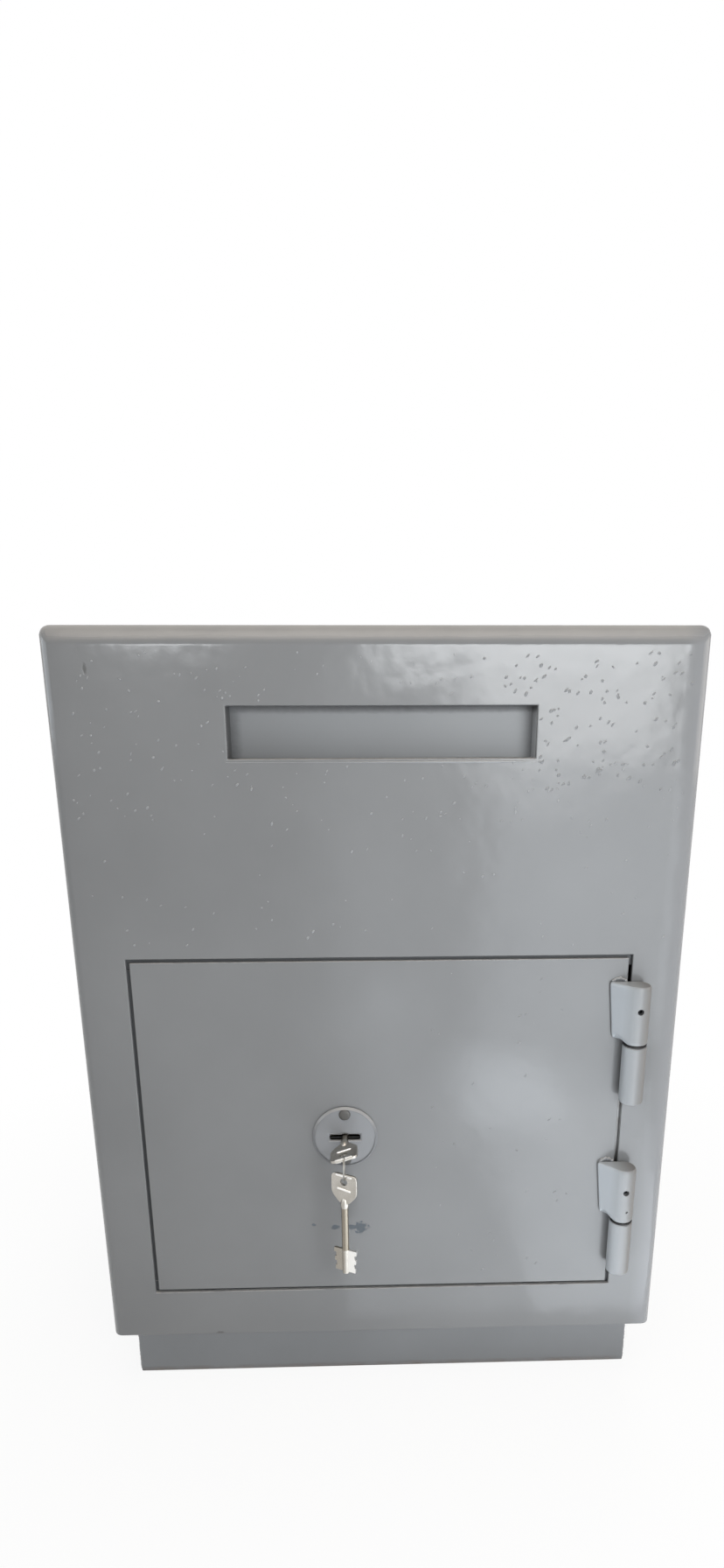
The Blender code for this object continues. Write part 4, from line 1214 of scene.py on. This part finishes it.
@dataclass
class LiftOffHinge:
    """One weld-on hinge: a knuckle on the frame, a leafed knuckle on the door, the pin and the washer."""

    name: str
    kit: Kit
    seed: int
    radius: float = 0.010
    bore: float = 0.0053
    cap: float = 0.006
    sheet: float = 0.004
    sides: int = 44
    corner: float = 0.0018
    corner_steps: int = 4
    rim: float = 0.0016
    rim_steps: int = 5
    bore_rim: float = 0.00008
    dome: float = 0.0042
    hole_radius: float = 0.0026
    hole_rise: float = 0.0301
    taper: Point = (0.0032, -0.0013)
    lift: float = 0.0028
    web_steps: int = 8
    web_end: float = 0.0032
    pit: Point | None = None
    pit_radius: float = 0.0011
    pit_depth: float = 0.0012
    edge: float = 0.0015
    thin_edge: float = 0.0003
    bead_radius: float = 0.0013
    bead_arch: float = 0.0024
    bead_wander: float = 0.0005
    bead_sway: float = 2.4
    bead_steps: int = 9

    def build(self) -> None:
        """Build and dress the hinge and the weld along its leaf."""
        stem = "hinge_%s_" % self.name
        knuckle = stem + "door_knuckle"
        data = self.door_knuckle(knuckle)
        install(knuckle + "_finished", data, HINGE_PAINTED_LIGHT_ENAMEL, Body.DOOR, (knuckle,))
        dress(stem + "frame_knuckle", HINGE_PAINTED_LIGHT_ENAMEL, Body.CABINET, self.edge)
        dress(stem + "pin", GREASED_STEEL, Body.CABINET, self.thin_edge)
        dress(stem + "washer", GREASED_BRASS, Body.CABINET, self.thin_edge)
        data = self.kit.bead([self.leaf_weld()], self.bead_radius, self.seed, stem + "weld")
        install(stem + "weld", data, BEAD_ENAMEL, Body.DOOR)

    def door_knuckle(self, node: str) -> bpy.types.Mesh:
        """Make the door's knuckle: a barrel that runs out into its leaf, bored for pin and grease.

        Args:
            node: the CAD node that it stands for.

        Returns:
            The mesh, in place.
        """
        low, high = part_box(node)
        axis = joint_place("door_swing")
        centre = (axis.x, axis.y)
        back = (low.x + self.corner, high.y - self.corner)
        front = (low.x + self.corner, high.y - self.sheet + self.corner)
        reach = Vector(front) - Vector(centre)
        lean = math.atan2(reach.y, reach.x) + math.acos((self.radius - self.corner) / reach.length)
        tangent = math.degrees(lean)
        outline = arc(centre, self.radius, tangent - 360, 90, self.sides)
        outline += arc(back, self.corner, 90, 180, self.corner_steps)
        outline += arc(front, self.corner, 180, tangent, self.corner_steps)
        web = Vector(outline[-1]), Vector(outline[0])
        outline += [tuple(web[0].lerp(web[1], i / self.web_steps)) for i in range(1, self.web_steps)]
        body = plate(outline, low.z, high.z, self.rim, self.rim_steps, self.dome)
        self.trim_leaf(body, low, high, axis.x)
        self.end_web(body, low, high, web)
        ring = circle(centre, self.bore, self.sides)
        bore = plate(ring, low.z - self.cap, high.z - self.cap, self.bore_rim, 1)
        tools = [bore, self.drill(self.hole_radius, 0.0, (axis.x, axis.y, low.z + self.hole_rise))]
        if self.pit:
            place = (axis.x + self.pit[0], axis.y, low.z + self.pit[1])
            tools.append(self.drill(self.pit_radius, self.pit_depth - self.radius, place))
        return shaded(combined(body, [(tool, Cut.REMOVE) for tool in tools], node))

    def trim_leaf(self, body: bmesh.types.BMesh, low: Vector, high: Vector, barrel: float) -> None:
        """Draw in the leaf's lower corner and let its upper corner out, as a hand-ground leaf has them.

        Args:
            body: the knuckle's mesh.
            low: its box's low corner.
            high: its box's high corner.
            barrel: where the barrel's axis is along X.
        """
        for vert in body.verts:
            out = max((barrel - self.radius - vert.co.x) / (barrel - self.radius - low.x), 0.0)
            up = (vert.co.z - low.z) / (high.z - low.z)
            vert.co.x += out * (self.taper[0] * (1 - up) + self.taper[1] * up)
            vert.co.z += out * self.lift * (1 - up)

    def end_web(self, body: bmesh.types.BMesh, low: Vector, high: Vector,
                web: tuple[Vector, Vector]) -> None:
        """Let the web of weld between leaf and barrel run out above the knuckle's lower end.

        Args:
            body: the knuckle's mesh.
            low: its box's low corner.
            high: its box's high corner.
            web: the web's front line in plan, from the leaf to the barrel.
        """
        for vert in body.verts:
            share = (vert.co.x - web[0].x) / (web[1].x - web[0].x)
            if 0 < share < 1 and vert.co.y < high.y - self.sheet:
                down = (high.z - vert.co.z) / (high.z - low.z)
                vert.co.z += self.web_end * math.sin(math.pi * share) * down

    def drill(self, radius: float, end: float, place: Place) -> bmesh.types.BMesh:
        """Return a cutter that enters the barrel from the front and ends at a distance from its place."""
        tool = turned(((radius, -2 * self.radius), (radius, end)), self.sides // 2)
        return moved(tool, Matrix.Translation(place))

    def leaf_weld(self) -> list[Place]:
        """Lead a wandering arch over the top of the leaf, on the door.

        Returns:
            The places along it.
        """
        low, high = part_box("hinge_%s_door_knuckle" % self.name)
        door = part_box("door_plate")[1]
        start, stop = low.x + self.bead_radius, door.x - self.bead_radius
        path = []
        for i in range(self.bead_steps + 1):
            share = i / self.bead_steps
            arch = self.bead_arch * math.sin(math.pi * share)
            wander = self.bead_wander * math.sin(self.seed + self.bead_sway * i)
            path.append((start + share * (stop - start), high.y, high.z + arch + wander))
        return path


@dataclass
class LockPlate:
    """The round plate about the keyhole and the two rivets that hold it."""

    kit: Kit
    edge: float = 0.0017
    sides: int = 32
    crown: tuple[Point, ...] = ((0.02, 0.00002), (0.55, 0.0), (0.80, 0.00022), (0.94, 0.0006))
    head: float = 0.0012
    shank_share: float = 0.4
    rivet_length: float = 0.0072

    def build(self) -> None:
        """Build and dress the plate and its rivets."""
        dress("escutcheon", PLATE_PAINTED_LIGHT_ENAMEL, Body.DOOR, self.edge)
        nodes = ("escutcheon_rivet_top", "escutcheon_rivet_bottom")
        boxes = [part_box(node) for node in nodes]
        places = [((low.x + high.x) / 2, low.y, (low.z + high.z) / 2) for low, high in boxes]
        low, high = boxes[0]
        rivet = self.rivet((high.x - low.x) / 2)
        data = self.kit.stamps.repeat(rivet, places, (0.0, 0.0), "rivets", RIVET_STEEL)
        install("escutcheon_rivets", data, RIVET_STEEL, Body.DOOR, nodes)

    def rivet(self, radius: float) -> bpy.types.Mesh:
        """Make a flat-crowned rivet whose crown is at the origin and whose shank runs along +Y.

        Args:
            radius: the head's radius.

        Returns:
            The mesh.
        """
        shank = self.shank_share * radius
        profile = [(share * radius, depth) for share, depth in self.crown]
        profile += [(radius, self.head), (shank, self.head), (shank, self.rivet_length)]
        return as_data(turned(profile, self.sides), "rivet")


@dataclass
class DoorLock:
    """The lock behind the door: case, cover, screws, levers on their post, bolt and guide."""

    kit: Kit
    edge: float = 0.0005
    sides: int = 24
    slot_width: float = 0.0011
    slot_depth: float = 0.0012
    levers: int = 4
    screw_turns: tuple[float, ...] = (0.4, 1.3, 2.2, 0.9)
    screw_head: float = 0.0028
    screw_shank: float = 0.0020
    crown_angles: tuple[float, ...] = (86, 70, 50, 30, 10, 0)

    def build(self) -> None:
        """Build and dress the lock."""
        for node in ("lock_case", "lock_cover"):
            dress(node, CASE_STEEL, Body.DOOR, self.edge)
        for node in ("lever_post", "bolt_guide"):
            dress(node, LOCK_STEEL, Body.DOOR, self.edge)
        for number in range(self.levers):
            dress("lock_lever_%d" % (number + 1), LEVER_BRASS, Body.LEVERS, self.edge)
        dress("lock_bolt", LOCK_STEEL, Body.BOLT, self.edge)
        rows, sides = ("top", "bottom"), ("left", "right")
        nodes = ["lock_screw_%s_%s" % (row, side) for row in rows for side in sides]
        boxes = [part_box(node) for node in nodes]
        places = [((low.x + high.x) / 2, high.y, (low.z + high.z) / 2) for low, high in boxes]
        low, high = boxes[0]
        screw = self.screw((high.x - low.x) / 2, high.y - low.y)
        data = self.kit.stamps.repeat(screw, places, self.screw_turns, "screws", LOCK_STEEL)
        install("lock_screws", data, LOCK_STEEL, Body.DOOR, nodes)

    def screw(self, radius: float, length: float) -> bpy.types.Mesh:
        """Make a slotted round-head screw, its crown at the origin and its shank along -Y.

        Args:
            radius: the head's radius.
            length: the length from the crown to the end.

        Returns:
            The mesh.
        """
        height, shank = self.screw_head, self.screw_shank
        angles = [math.radians(angle) for angle in self.crown_angles]
        crown = [(radius * math.cos(a), height * (math.sin(a) - 1)) for a in angles]
        body = turned(crown + [(shank, -height), (shank, -length)], self.sides)
        cutter = bmesh.new()
        bmesh.ops.create_cube(cutter, size=1.0)
        bmesh.ops.scale(cutter, verts=cutter.verts, vec=(4 * radius, 2 * self.slot_depth, self.slot_width))
        return combined(body, [(cutter, Cut.REMOVE)], "screw")


@dataclass(frozen=True)
class Bar:
    """A raised bar across a key's bow: its middle along the key, length, tilt in degrees and height."""

    middle: float
    length: float
    tilt: float
    height: float


@dataclass
class Key:
    """A double-bitted key: a shield bow with raised bars, a collar, a round shaft and two stepped bits."""

    node: str
    body: Body
    place: Matrix
    length: float = 0.094
    sheet: float = 0.0024
    bow: Point = (0.0235, 0.028)
    shoulder: float = 0.0185
    neck: float = 0.0066
    corner: float = 0.0045
    hole_centre: float = 0.0069
    hole_radius: float = 0.0033
    hole_rim: float = 0.0001
    shaft: float = 0.003
    sides: int = 28
    collar: float = 0.0035
    collar_profile: tuple[Point, ...] = ((0.3, -0.006), (0.8, -0.0045), (1.18, -0.0015), (1.22, 0.001),
                                         (1.05, 0.003), (1.0, 0.0042))
    tip_bevel: float = 0.0007
    tip_share: float = 0.75
    bit: Point = (0.021, 0.021)
    bit_tip: float = 0.002
    bit_corner: float = 0.0005
    bit_rim: float = 0.0003
    bit_shade_share: float = 0.6
    bit_notches: tuple[float, ...] = (0.0, 0.0019, 0.0006, 0.0024, 0.0012)
    rim: float = 0.0006
    bar_width: float = 0.0019
    bar_foot: float = 0.00007
    bar_rim_share: float = 0.9
    bar_steps: int = 6
    end_bar: Bar = Bar(0.0015, 0.0150, 4.0, 0.00033)
    lower_bar: Bar = Bar(0.0140, 0.0125, 7.0, 0.0007)

    def build(self) -> None:
        """Build and dress the key."""
        parts = [self.bits(), self.stem()] + self.bars()
        tools = [(part, Cut.ADD) for part in parts] + [(self.hole(), Cut.REMOVE)]
        data = combined(self.bow_plate(), tools, self.node)
        self.mark(data)
        data.transform(self.place)
        install(self.node + "_finished", shaded(data), KEY_NICKEL, self.body, (self.node,))

    def mark(self, data: bpy.types.Mesh) -> None:
        """Mark the bare shaft and one bit, which is darkened as painted shade, and the bars and the other
        bit, which get a painted highlight.

        Args:
            data: the key's mesh, in its own place.
        """
        first, last = self.bow[1] + self.collar, self.length - self.bit_tip - self.bit[1]
        shaft = data.attributes.new(SHAFT_TONE_AND_SHADE_ATTRIBUTE, "FLOAT", "FACE")
        polish = data.attributes.new(PAINTED_HIGHLIGHT_ATTRIBUTE, "FLOAT", "FACE")
        for face in data.polygons:
            x, y, z = face.center
            # Painted shade on one bit, and a painted highlight on the raised bars and the other bit.
            shaded_bit = self.bit_shade_share * float(y > last and x < 0)
            shaft.data[face.index].value = max(float(first < y < last), shaded_bit)
            raised = y < self.shoulder and abs(z) > self.sheet / 2 + self.bar_foot
            highlighted_bit = y > last and x > self.shaft
            polish.data[face.index].value = float(raised or highlighted_bit)

    def bow_plate(self) -> bmesh.types.BMesh:
        """Make the shield-shaped bow with soft rims.

        Returns:
            The mesh, with the bow's end at the origin and the key along +Y.
        """
        half, neck = self.bow[0] / 2, self.neck / 2
        right = [(half, 0.0), (half, self.shoulder), (neck, self.bow[1])]
        outline = rounded(mirrored(right), self.corner)
        return plate(outline, -self.sheet / 2, self.sheet / 2, self.rim)

    def stem(self) -> bmesh.types.BMesh:
        """Make the collar under the bow and the shaft to its tip.

        Returns:
            The mesh, along +Y.
        """
        start, end, radius = self.bow[1], self.length, self.shaft
        profile = [(share * radius, start + shift) for share, shift in self.collar_profile]
        profile += [(radius, end - self.bit_tip - self.bit[1]), (radius, end - self.tip_bevel)]
        profile += [(self.tip_share * radius, end)]
        return turned(profile, self.sides)

    def bits(self) -> bmesh.types.BMesh:
        """Make the two bits with the steps that lift the levers.

        Returns:
            The mesh of both.
        """
        half, end = self.bit[0] / 2, self.length - self.bit_tip
        start = end - self.bit[1]
        step = self.bit[1] / len(self.bit_notches)
        right = [(0.0, start)]
        for i, notch in enumerate(self.bit_notches):
            right += [(half - notch, start + i * step), (half - notch, start + (i + 1) * step)]
        right += [(0.0, end)]
        left = [(-x, y) for x, y in reversed(right[1:-1])]
        outline = rounded(right + left, self.bit_corner, 2)
        return plate(outline, -self.sheet / 2, self.sheet / 2, self.bit_rim, 2)

    def bars(self) -> list[bmesh.types.BMesh]:
        """Make the raised bars on both faces of the bow, a low one under the ring and one below the hole.

        Returns:
            A mesh for each bar.
        """
        made = []
        for bar in (self.end_bar, self.lower_bar):
            reach = self.sheet / 2 + bar.height
            half, radius = (bar.length - self.bar_width) / 2, self.bar_width / 2
            outline = arc((half, 0), radius, -90, 90, self.bar_steps)
            outline += arc((-half, 0), radius, 90, 270, self.bar_steps)
            body = plate(outline, -reach, reach, self.bar_rim_share * bar.height)
            turn = Matrix.Rotation(math.radians(bar.tilt), 4, "Z")
            made.append(moved(body, Matrix.Translation((0, bar.middle, 0)) @ turn))
        return made

    def hole(self) -> bmesh.types.BMesh:
        """Return the cutter for the bow's hole."""
        outline = circle((0, self.hole_centre), self.hole_radius, self.sides)
        return plate(outline, -3 * self.sheet, 3 * self.sheet, self.hole_rim, 1)


@dataclass
class SplitRing:
    """The ring that carries the spare key: two turns of flat wire side by side, with one jog."""

    radius: float = 0.010
    wire: Point = (0.00062, 0.0012)
    wire_corner: float = 0.0003
    pitch: float = 0.00066
    first_turn: float = 26.0
    last_turn: float = 694.0
    jog: tuple[float, float] = (342.0, 378.0)
    steps: int = 132

    def build(self) -> None:
        """Build and dress the ring, in the upright plane that holds the lock's axis."""
        low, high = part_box("key_ring")
        centre = (low + high) / 2
        half_x, half_r = self.wire[0] / 2, self.wire[1] / 2
        corners = [(-half_x, -half_r), (half_x, -half_r), (half_x, half_r), (-half_x, half_r)]
        section = rounded(corners, self.wire_corner, 2)
        rings = []
        for i in range(self.steps + 1):
            turn = self.first_turn + (self.last_turn - self.first_turn) * i / self.steps
            share = min(max((turn - self.jog[0]) / (self.jog[1] - self.jog[0]), 0.0), 1.0)
            shift = self.pitch * (share - 0.5)
            around = Matrix.Rotation(math.radians(turn), 4, "X")
            rings.append([centre + around @ Vector((x + shift, 0, self.radius + r)) for x, r in section])
        mesh = bmesh.new()
        skin_rings(mesh, rings)
        data = shaded(as_data(mesh, "key_ring"))
        install("key_ring_finished", data, RING_STEEL, Body.RING, ("key_ring",))


@dataclass(frozen=True)
class Scatter:
    """A field of nibs: its name and body, how many lie on a square metre, its seed, paint and sizes."""

    name: str
    body: Body
    density: float
    seed: int
    finish: Enamel
    least: Place
    most: Place


@dataclass
class PaintNibs:
    """Dust nibs in the paint, thick on the upper front and thin on the door. The lighter ones carry painted
    highlights.
    """

    kit: Kit
    margin: float = 0.010
    top_margin: float = 0.020
    hinge_margin: float = 0.030
    leaf_start: float = 0.04
    split: Point = (0.7, 0.3)
    lean: Place = (0.0, 0.35, 0.0)
    sway: Place = (0.0, 1.05, 0.0)
    window_start: float = 0.07
    window_drop: float = 0.022
    least: Place = (0.00035, 0.00018, 0.00045)
    most: Place = (0.00095, 0.00042, 0.00165)
    speck_least: Place = (0.00055, 0.00020, 0.00070)
    speck_most: Place = (0.00125, 0.00040, 0.00220)

    def build(self) -> None:
        """Scatter the nibs on the front panel and the door."""
        front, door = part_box("front_panel"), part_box("door_plate")
        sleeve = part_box("slot_sleeve")
        gap = self.margin
        left, right, top = front[0].x + gap, front[1].x - gap, front[1].z - self.top_margin
        slot_low, slot_high = sleeve[0].z, sleeve[1].z
        middle = self.split[0] * slot_low + self.split[1] * door[1].z
        upper = [(left, slot_high, self.window_start, top), (left, slot_low, sleeve[0].x, slot_high),
                 (left, middle, right, slot_low)]
        right_top = [(self.window_start, slot_high, right, top),
                     (sleeve[1].x, slot_low - self.window_drop, right, slot_high)]
        lower = [(left, door[1].z + gap, right, middle)]
        leaf = [(self.leaf_start, door[0].z + gap, door[1].x - self.hinge_margin, door[1].z - gap)]
        face = front[0].y
        small, large = (self.least, self.most), (self.speck_least, self.speck_most)
        fields = (
            (Scatter("front_nibs", Body.CABINET, 3900.0, 3, NIB_HIGHLIGHT_ENAMEL, *small), upper),
            (Scatter("front_right_specks", Body.CABINET, 8200.0, 5, SPECK_ENAMEL, *large), right_top),
            (Scatter("front_lower_nibs", Body.CABINET, 1100.0, 8, NIB_HIGHLIGHT_ENAMEL, *small), lower),
            (Scatter("door_specks", Body.DOOR, 900.0, 13, SPECK_ENAMEL, *small), leaf),
        )
        for nibs, rectangles in fields:
            data = self.kit.nibs.grow(self.areas(rectangles, face), nibs.name, {
                "Density": nibs.density, "Seed": nibs.seed, "Least": nibs.least, "Most": nibs.most,
                "Lean": self.lean, "Sway": self.sway, "Material": nibs.finish.material(),
            })
            install(nibs.name, data, nibs.finish, nibs.body)

    @staticmethod
    def areas(rectangles: Sequence[tuple[float, float, float, float]], depth: float) -> bpy.types.Mesh:
        """Make upright rectangles for nibs to lie on.

        Args:
            rectangles: the low x and z and the high x and z of each.
            depth: their place along Y.

        Returns:
            One mesh of all the rectangles.
        """
        mesh = bmesh.new()
        for low_x, low_z, high_x, high_z in rectangles:
            corners = ((low_x, low_z), (high_x, low_z), (high_x, high_z), (low_x, high_z))
            mesh.faces.new([mesh.verts.new((x, depth, z)) for x, z in corners])
        return as_data(mesh, "nib_area")


# Stage


@dataclass
class Lamp:
    """A soft rectangular lamp."""

    name: str
    place: Place
    target: Place
    size: Point
    radiance: float
    colour: Colour = (1.0, 1.0, 1.0)
    mirrored: bool = True

    def build(self) -> None:
        """Hang the lamp so that it faces its target, seen in reflections only if it is mirrored."""
        light = bpy.data.lights.new(self.name, "AREA")
        light.shape = "RECTANGLE"
        light.size, light.size_y = self.size
        light.energy = self.radiance * math.pi * self.size[0] * self.size[1]
        light.color = self.colour
        made = bpy.data.objects.new(self.name, light)
        made.location = self.place
        made.rotation_mode = "QUATERNION"
        made.rotation_quaternion = (Vector(self.target) - Vector(self.place)).to_track_quat("-Z", "Y")
        made.visible_camera = False
        made.visible_glossy = self.mirrored
        bpy.context.scene.collection.objects.link(made)


@dataclass
class Studio:
    """A pale floor, a white surround, soft lamps and the camera."""

    image: Point = (828.0, 1792.0)
    focal_pixels: float = 959.0
    principal: Point = (451.0, 1100.0)
    sensor: float = 36.0
    camera_place: Place = (-0.0087, -0.85905, 0.598)
    pitch: float = math.radians(15.82)
    yaw: float = math.radians(1.68)
    roll: float = math.radians(-0.16)
    surround_light: float = 0.07
    floor_colour: Colour = (0.90, 0.90, 0.895)
    near_clip: float = 0.01
    floor_roughness: float = 0.8
    floor_reach: float = 6.0
    fade: tuple[float, float, float, float] = (0.28, 0.75, 0.90, 1.0)

    def build(self) -> None:
        """Build the stage."""
        self.build_world()
        self.build_floor()
        self.build_lamps()
        self.build_camera()
        bpy.context.scene.view_settings.view_transform = "Standard"

    @staticmethod
    def shown(graph: Graph) -> bpy.types.NodeSocket:
        """Tell apart the rays that show the surround: camera, glossy and transmission rays.

        Args:
            graph: the node tree of the world or the floor.

        Returns:
            The socket of 1 for those rays and 0 for others.
        """
        path = graph.add("ShaderNodeLightPath").outputs
        pair = graph.maths("MAXIMUM", path["Is Camera Ray"], path["Is Glossy Ray"])
        return graph.maths("MAXIMUM", pair, path["Is Transmission Ray"])

    def build_world(self) -> None:
        """Surround the scene with soft light that shows as white."""
        world = bpy.data.worlds.new("surround")
        world.use_nodes = True
        bpy.context.scene.world = world
        graph = Graph(world.node_tree)
        background = world.node_tree.nodes["Background"]
        background.inputs["Color"].default_value = WHITE
        strength = graph.spread(self.shown(graph), 0.0, 1.0, self.surround_light, 1.0)
        graph.feed(background.inputs["Strength"], strength)

    def build_floor(self) -> None:
        """Lay a pale floor that keeps the shadow near the box and fades to white."""
        mesh = bmesh.new()
        bmesh.ops.create_grid(mesh, x_segments=1, y_segments=1, size=self.floor_reach)
        floor = bpy.data.objects.new("floor", as_data(mesh, "floor"))
        bpy.context.scene.collection.objects.link(floor)
        material = bpy.data.materials.new("pale_floor")
        material.use_nodes = True
        graph = Graph(material.node_tree)
        shader = material.node_tree.nodes["Principled BSDF"]
        shader.inputs["Base Color"].default_value = (*self.floor_colour, 1.0)
        shader.inputs["Roughness"].default_value = self.floor_roughness
        place = graph.add("ShaderNodeTexCoord").outputs["Object"]
        reach = graph.add("ShaderNodeVectorMath", {0: place}, operation="LENGTH").outputs["Value"]
        far = graph.spread(reach, *self.fade)
        glow = graph.add("ShaderNodeEmission", {"Color": WHITE, "Strength": 1.0}).outputs[0]
        share = graph.maths("MULTIPLY", far, self.shown(graph))
        mixed = graph.add("ShaderNodeMixShader", {0: share, 1: shader.outputs[0], 2: glow}).outputs[0]
        graph.feed(material.node_tree.nodes["Material Output"].inputs["Surface"], mixed)
        floor.data.materials.append(material)

    @staticmethod
    def build_lamps() -> None:
        """Hang the lamps: a window, soft walls and low reflectors before the front, and light all round."""
        day, sky, warm, dusk = (0.95, 0.98, 1.0), (0.86, 0.93, 1.0), (1.0, 0.91, 0.80), (1.0, 0.92, 0.86)
        lamps = (
            Lamp("window_right", (0.36, -1.05, 0.622), (0.36, 0.0, 0.622), (0.38, 0.155), 7.4, day),
            Lamp("window_upper", (0.29, -1.05, 0.762), (0.29, 0.0, 0.762), (0.55, 0.125), 11.0, day),
            Lamp("window_lower", (0.295, -1.05, 0.508), (0.295, 0.0, 0.508), (0.10, 0.075), 2.2, day),
            Lamp("window_left", (-0.352, -1.05, 0.82), (-0.352, 0.0, 0.82), (0.14, 0.14), 10.0, day),
            Lamp("wall_right", (0.42, -1.06, 0.28), (0.42, 0.0, 0.28), (0.44, 0.52), 2.5, sky),
            Lamp("wall_middle", (0.05, -1.06, 0.38), (0.05, 0.0, 0.38), (0.30, 0.72), 0.6, sky),
            Lamp("floor_right", (0.30, -0.66, 0.004), (0.30, -0.66, 1.0), (0.28, 0.75), 2.6, sky),
            Lamp("floor_middle", (0.06, -0.66, 0.004), (0.06, -0.66, 1.0), (0.20, 0.75), 1.0, sky),
            Lamp("reflector_right", (0.216, -0.84, 0.006), (0.216, -0.84, 1.0), (0.16, 0.26), 2.6, sky),
            Lamp("reflector_left", (0.02, -1.31, 0.004), (0.02, -1.31, 1.0), (0.10, 0.40), 1.5, sky),
            Lamp("overhead", (0.0, -0.7, 2.6), (0.0, 0.0, 0.4), (2.0, 1.4), 2.4, warm),
            Lamp("side_right", (2.1, -0.4, 0.9), (0.2, 0.0, 0.4), (2.2, 0.9), 1.6, dusk),
            Lamp("side_left", (-2.1, -0.4, 1.0), (-0.2, 0.0, 0.5), (2.2, 0.9), 2.1, sky),
            Lamp("soft_back", (0.6, 3.0, 1.6), (0.0, 0.2, 0.35), (2.4, 2.0), 6.0, mirrored=False),
        )
        for lamp in lamps:
            lamp.build()

    def build_camera(self) -> None:
        """Set the camera by the pose that the photograph's edges give."""
        axes = Matrix(((1, 0, 0), (0, 0, -1), (0, 1, 0)))
        yaw, pitch = Matrix.Rotation(-self.yaw, 3, "Y"), Matrix.Rotation(self.pitch, 3, "X")
        seen = Matrix.Rotation(self.roll, 3, "Z") @ pitch @ yaw @ axes
        lens = bpy.data.cameras.new("camera")
        lens.sensor_width = self.sensor
        long_side = max(self.image)
        lens.lens = self.sensor * self.focal_pixels / long_side
        lens.shift_x = (self.image[0] / 2 - self.principal[0]) / long_side
        lens.shift_y = (self.principal[1] - self.image[1] / 2) / long_side
        lens.clip_start = self.near_clip
        camera = bpy.data.objects.new("camera", lens)
        turn = Matrix((seen[0], -seen[1], -seen[2])).transposed().to_4x4()
        camera.matrix_world = Matrix.Translation(self.camera_place) @ turn
        bpy.context.scene.collection.objects.link(camera)
        bpy.context.scene.camera = camera


def keys() -> tuple[Key, Key]:
    """Place the key in the lock and the spare key where their CAD nodes are.

    Returns:
        Both keys.
    """
    axis = joint_place("key_turn")
    bow_end = Vector((axis.x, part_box("lock_key")[0].y, axis.z))
    in_lock = Matrix.Translation(bow_end) @ Matrix.Rotation(KEY_TURN, 4, "Y")
    pivot = joint_place("spare_hang")
    bow_top = Vector((pivot.x, pivot.y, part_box("spare_key")[1].z))
    hanging = Matrix.Rotation(SPARE_TWIST, 4, "Z") @ Matrix.Rotation(-math.pi / 2, 4, "X")
    spare = Matrix.Translation(bow_top) @ hanging
    return Key("lock_key", Body.KEY, in_lock), Key("spare_key", Body.SPARE, spare)


def main() -> None:
    """Build the stage and every assembly in order."""
    logging.basicConfig(level=logging.INFO, format="%(message)s")
    kit = Kit()
    assemblies = (
        Studio(), Casing(kit), Plinth(kit), DepositSlot(), DoorLeaf(),
        LiftOffHinge("upper", kit, seed=2), LiftOffHinge("lower", kit, seed=5, pit=(0.0015, 0.0116)),
        LockPlate(kit), DoorLock(kit), *keys(), SplitRing(), PaintNibs(kit),
    )
    for assembly in assemblies:
        assembly.build()


if __name__ == "__main__":
    main()
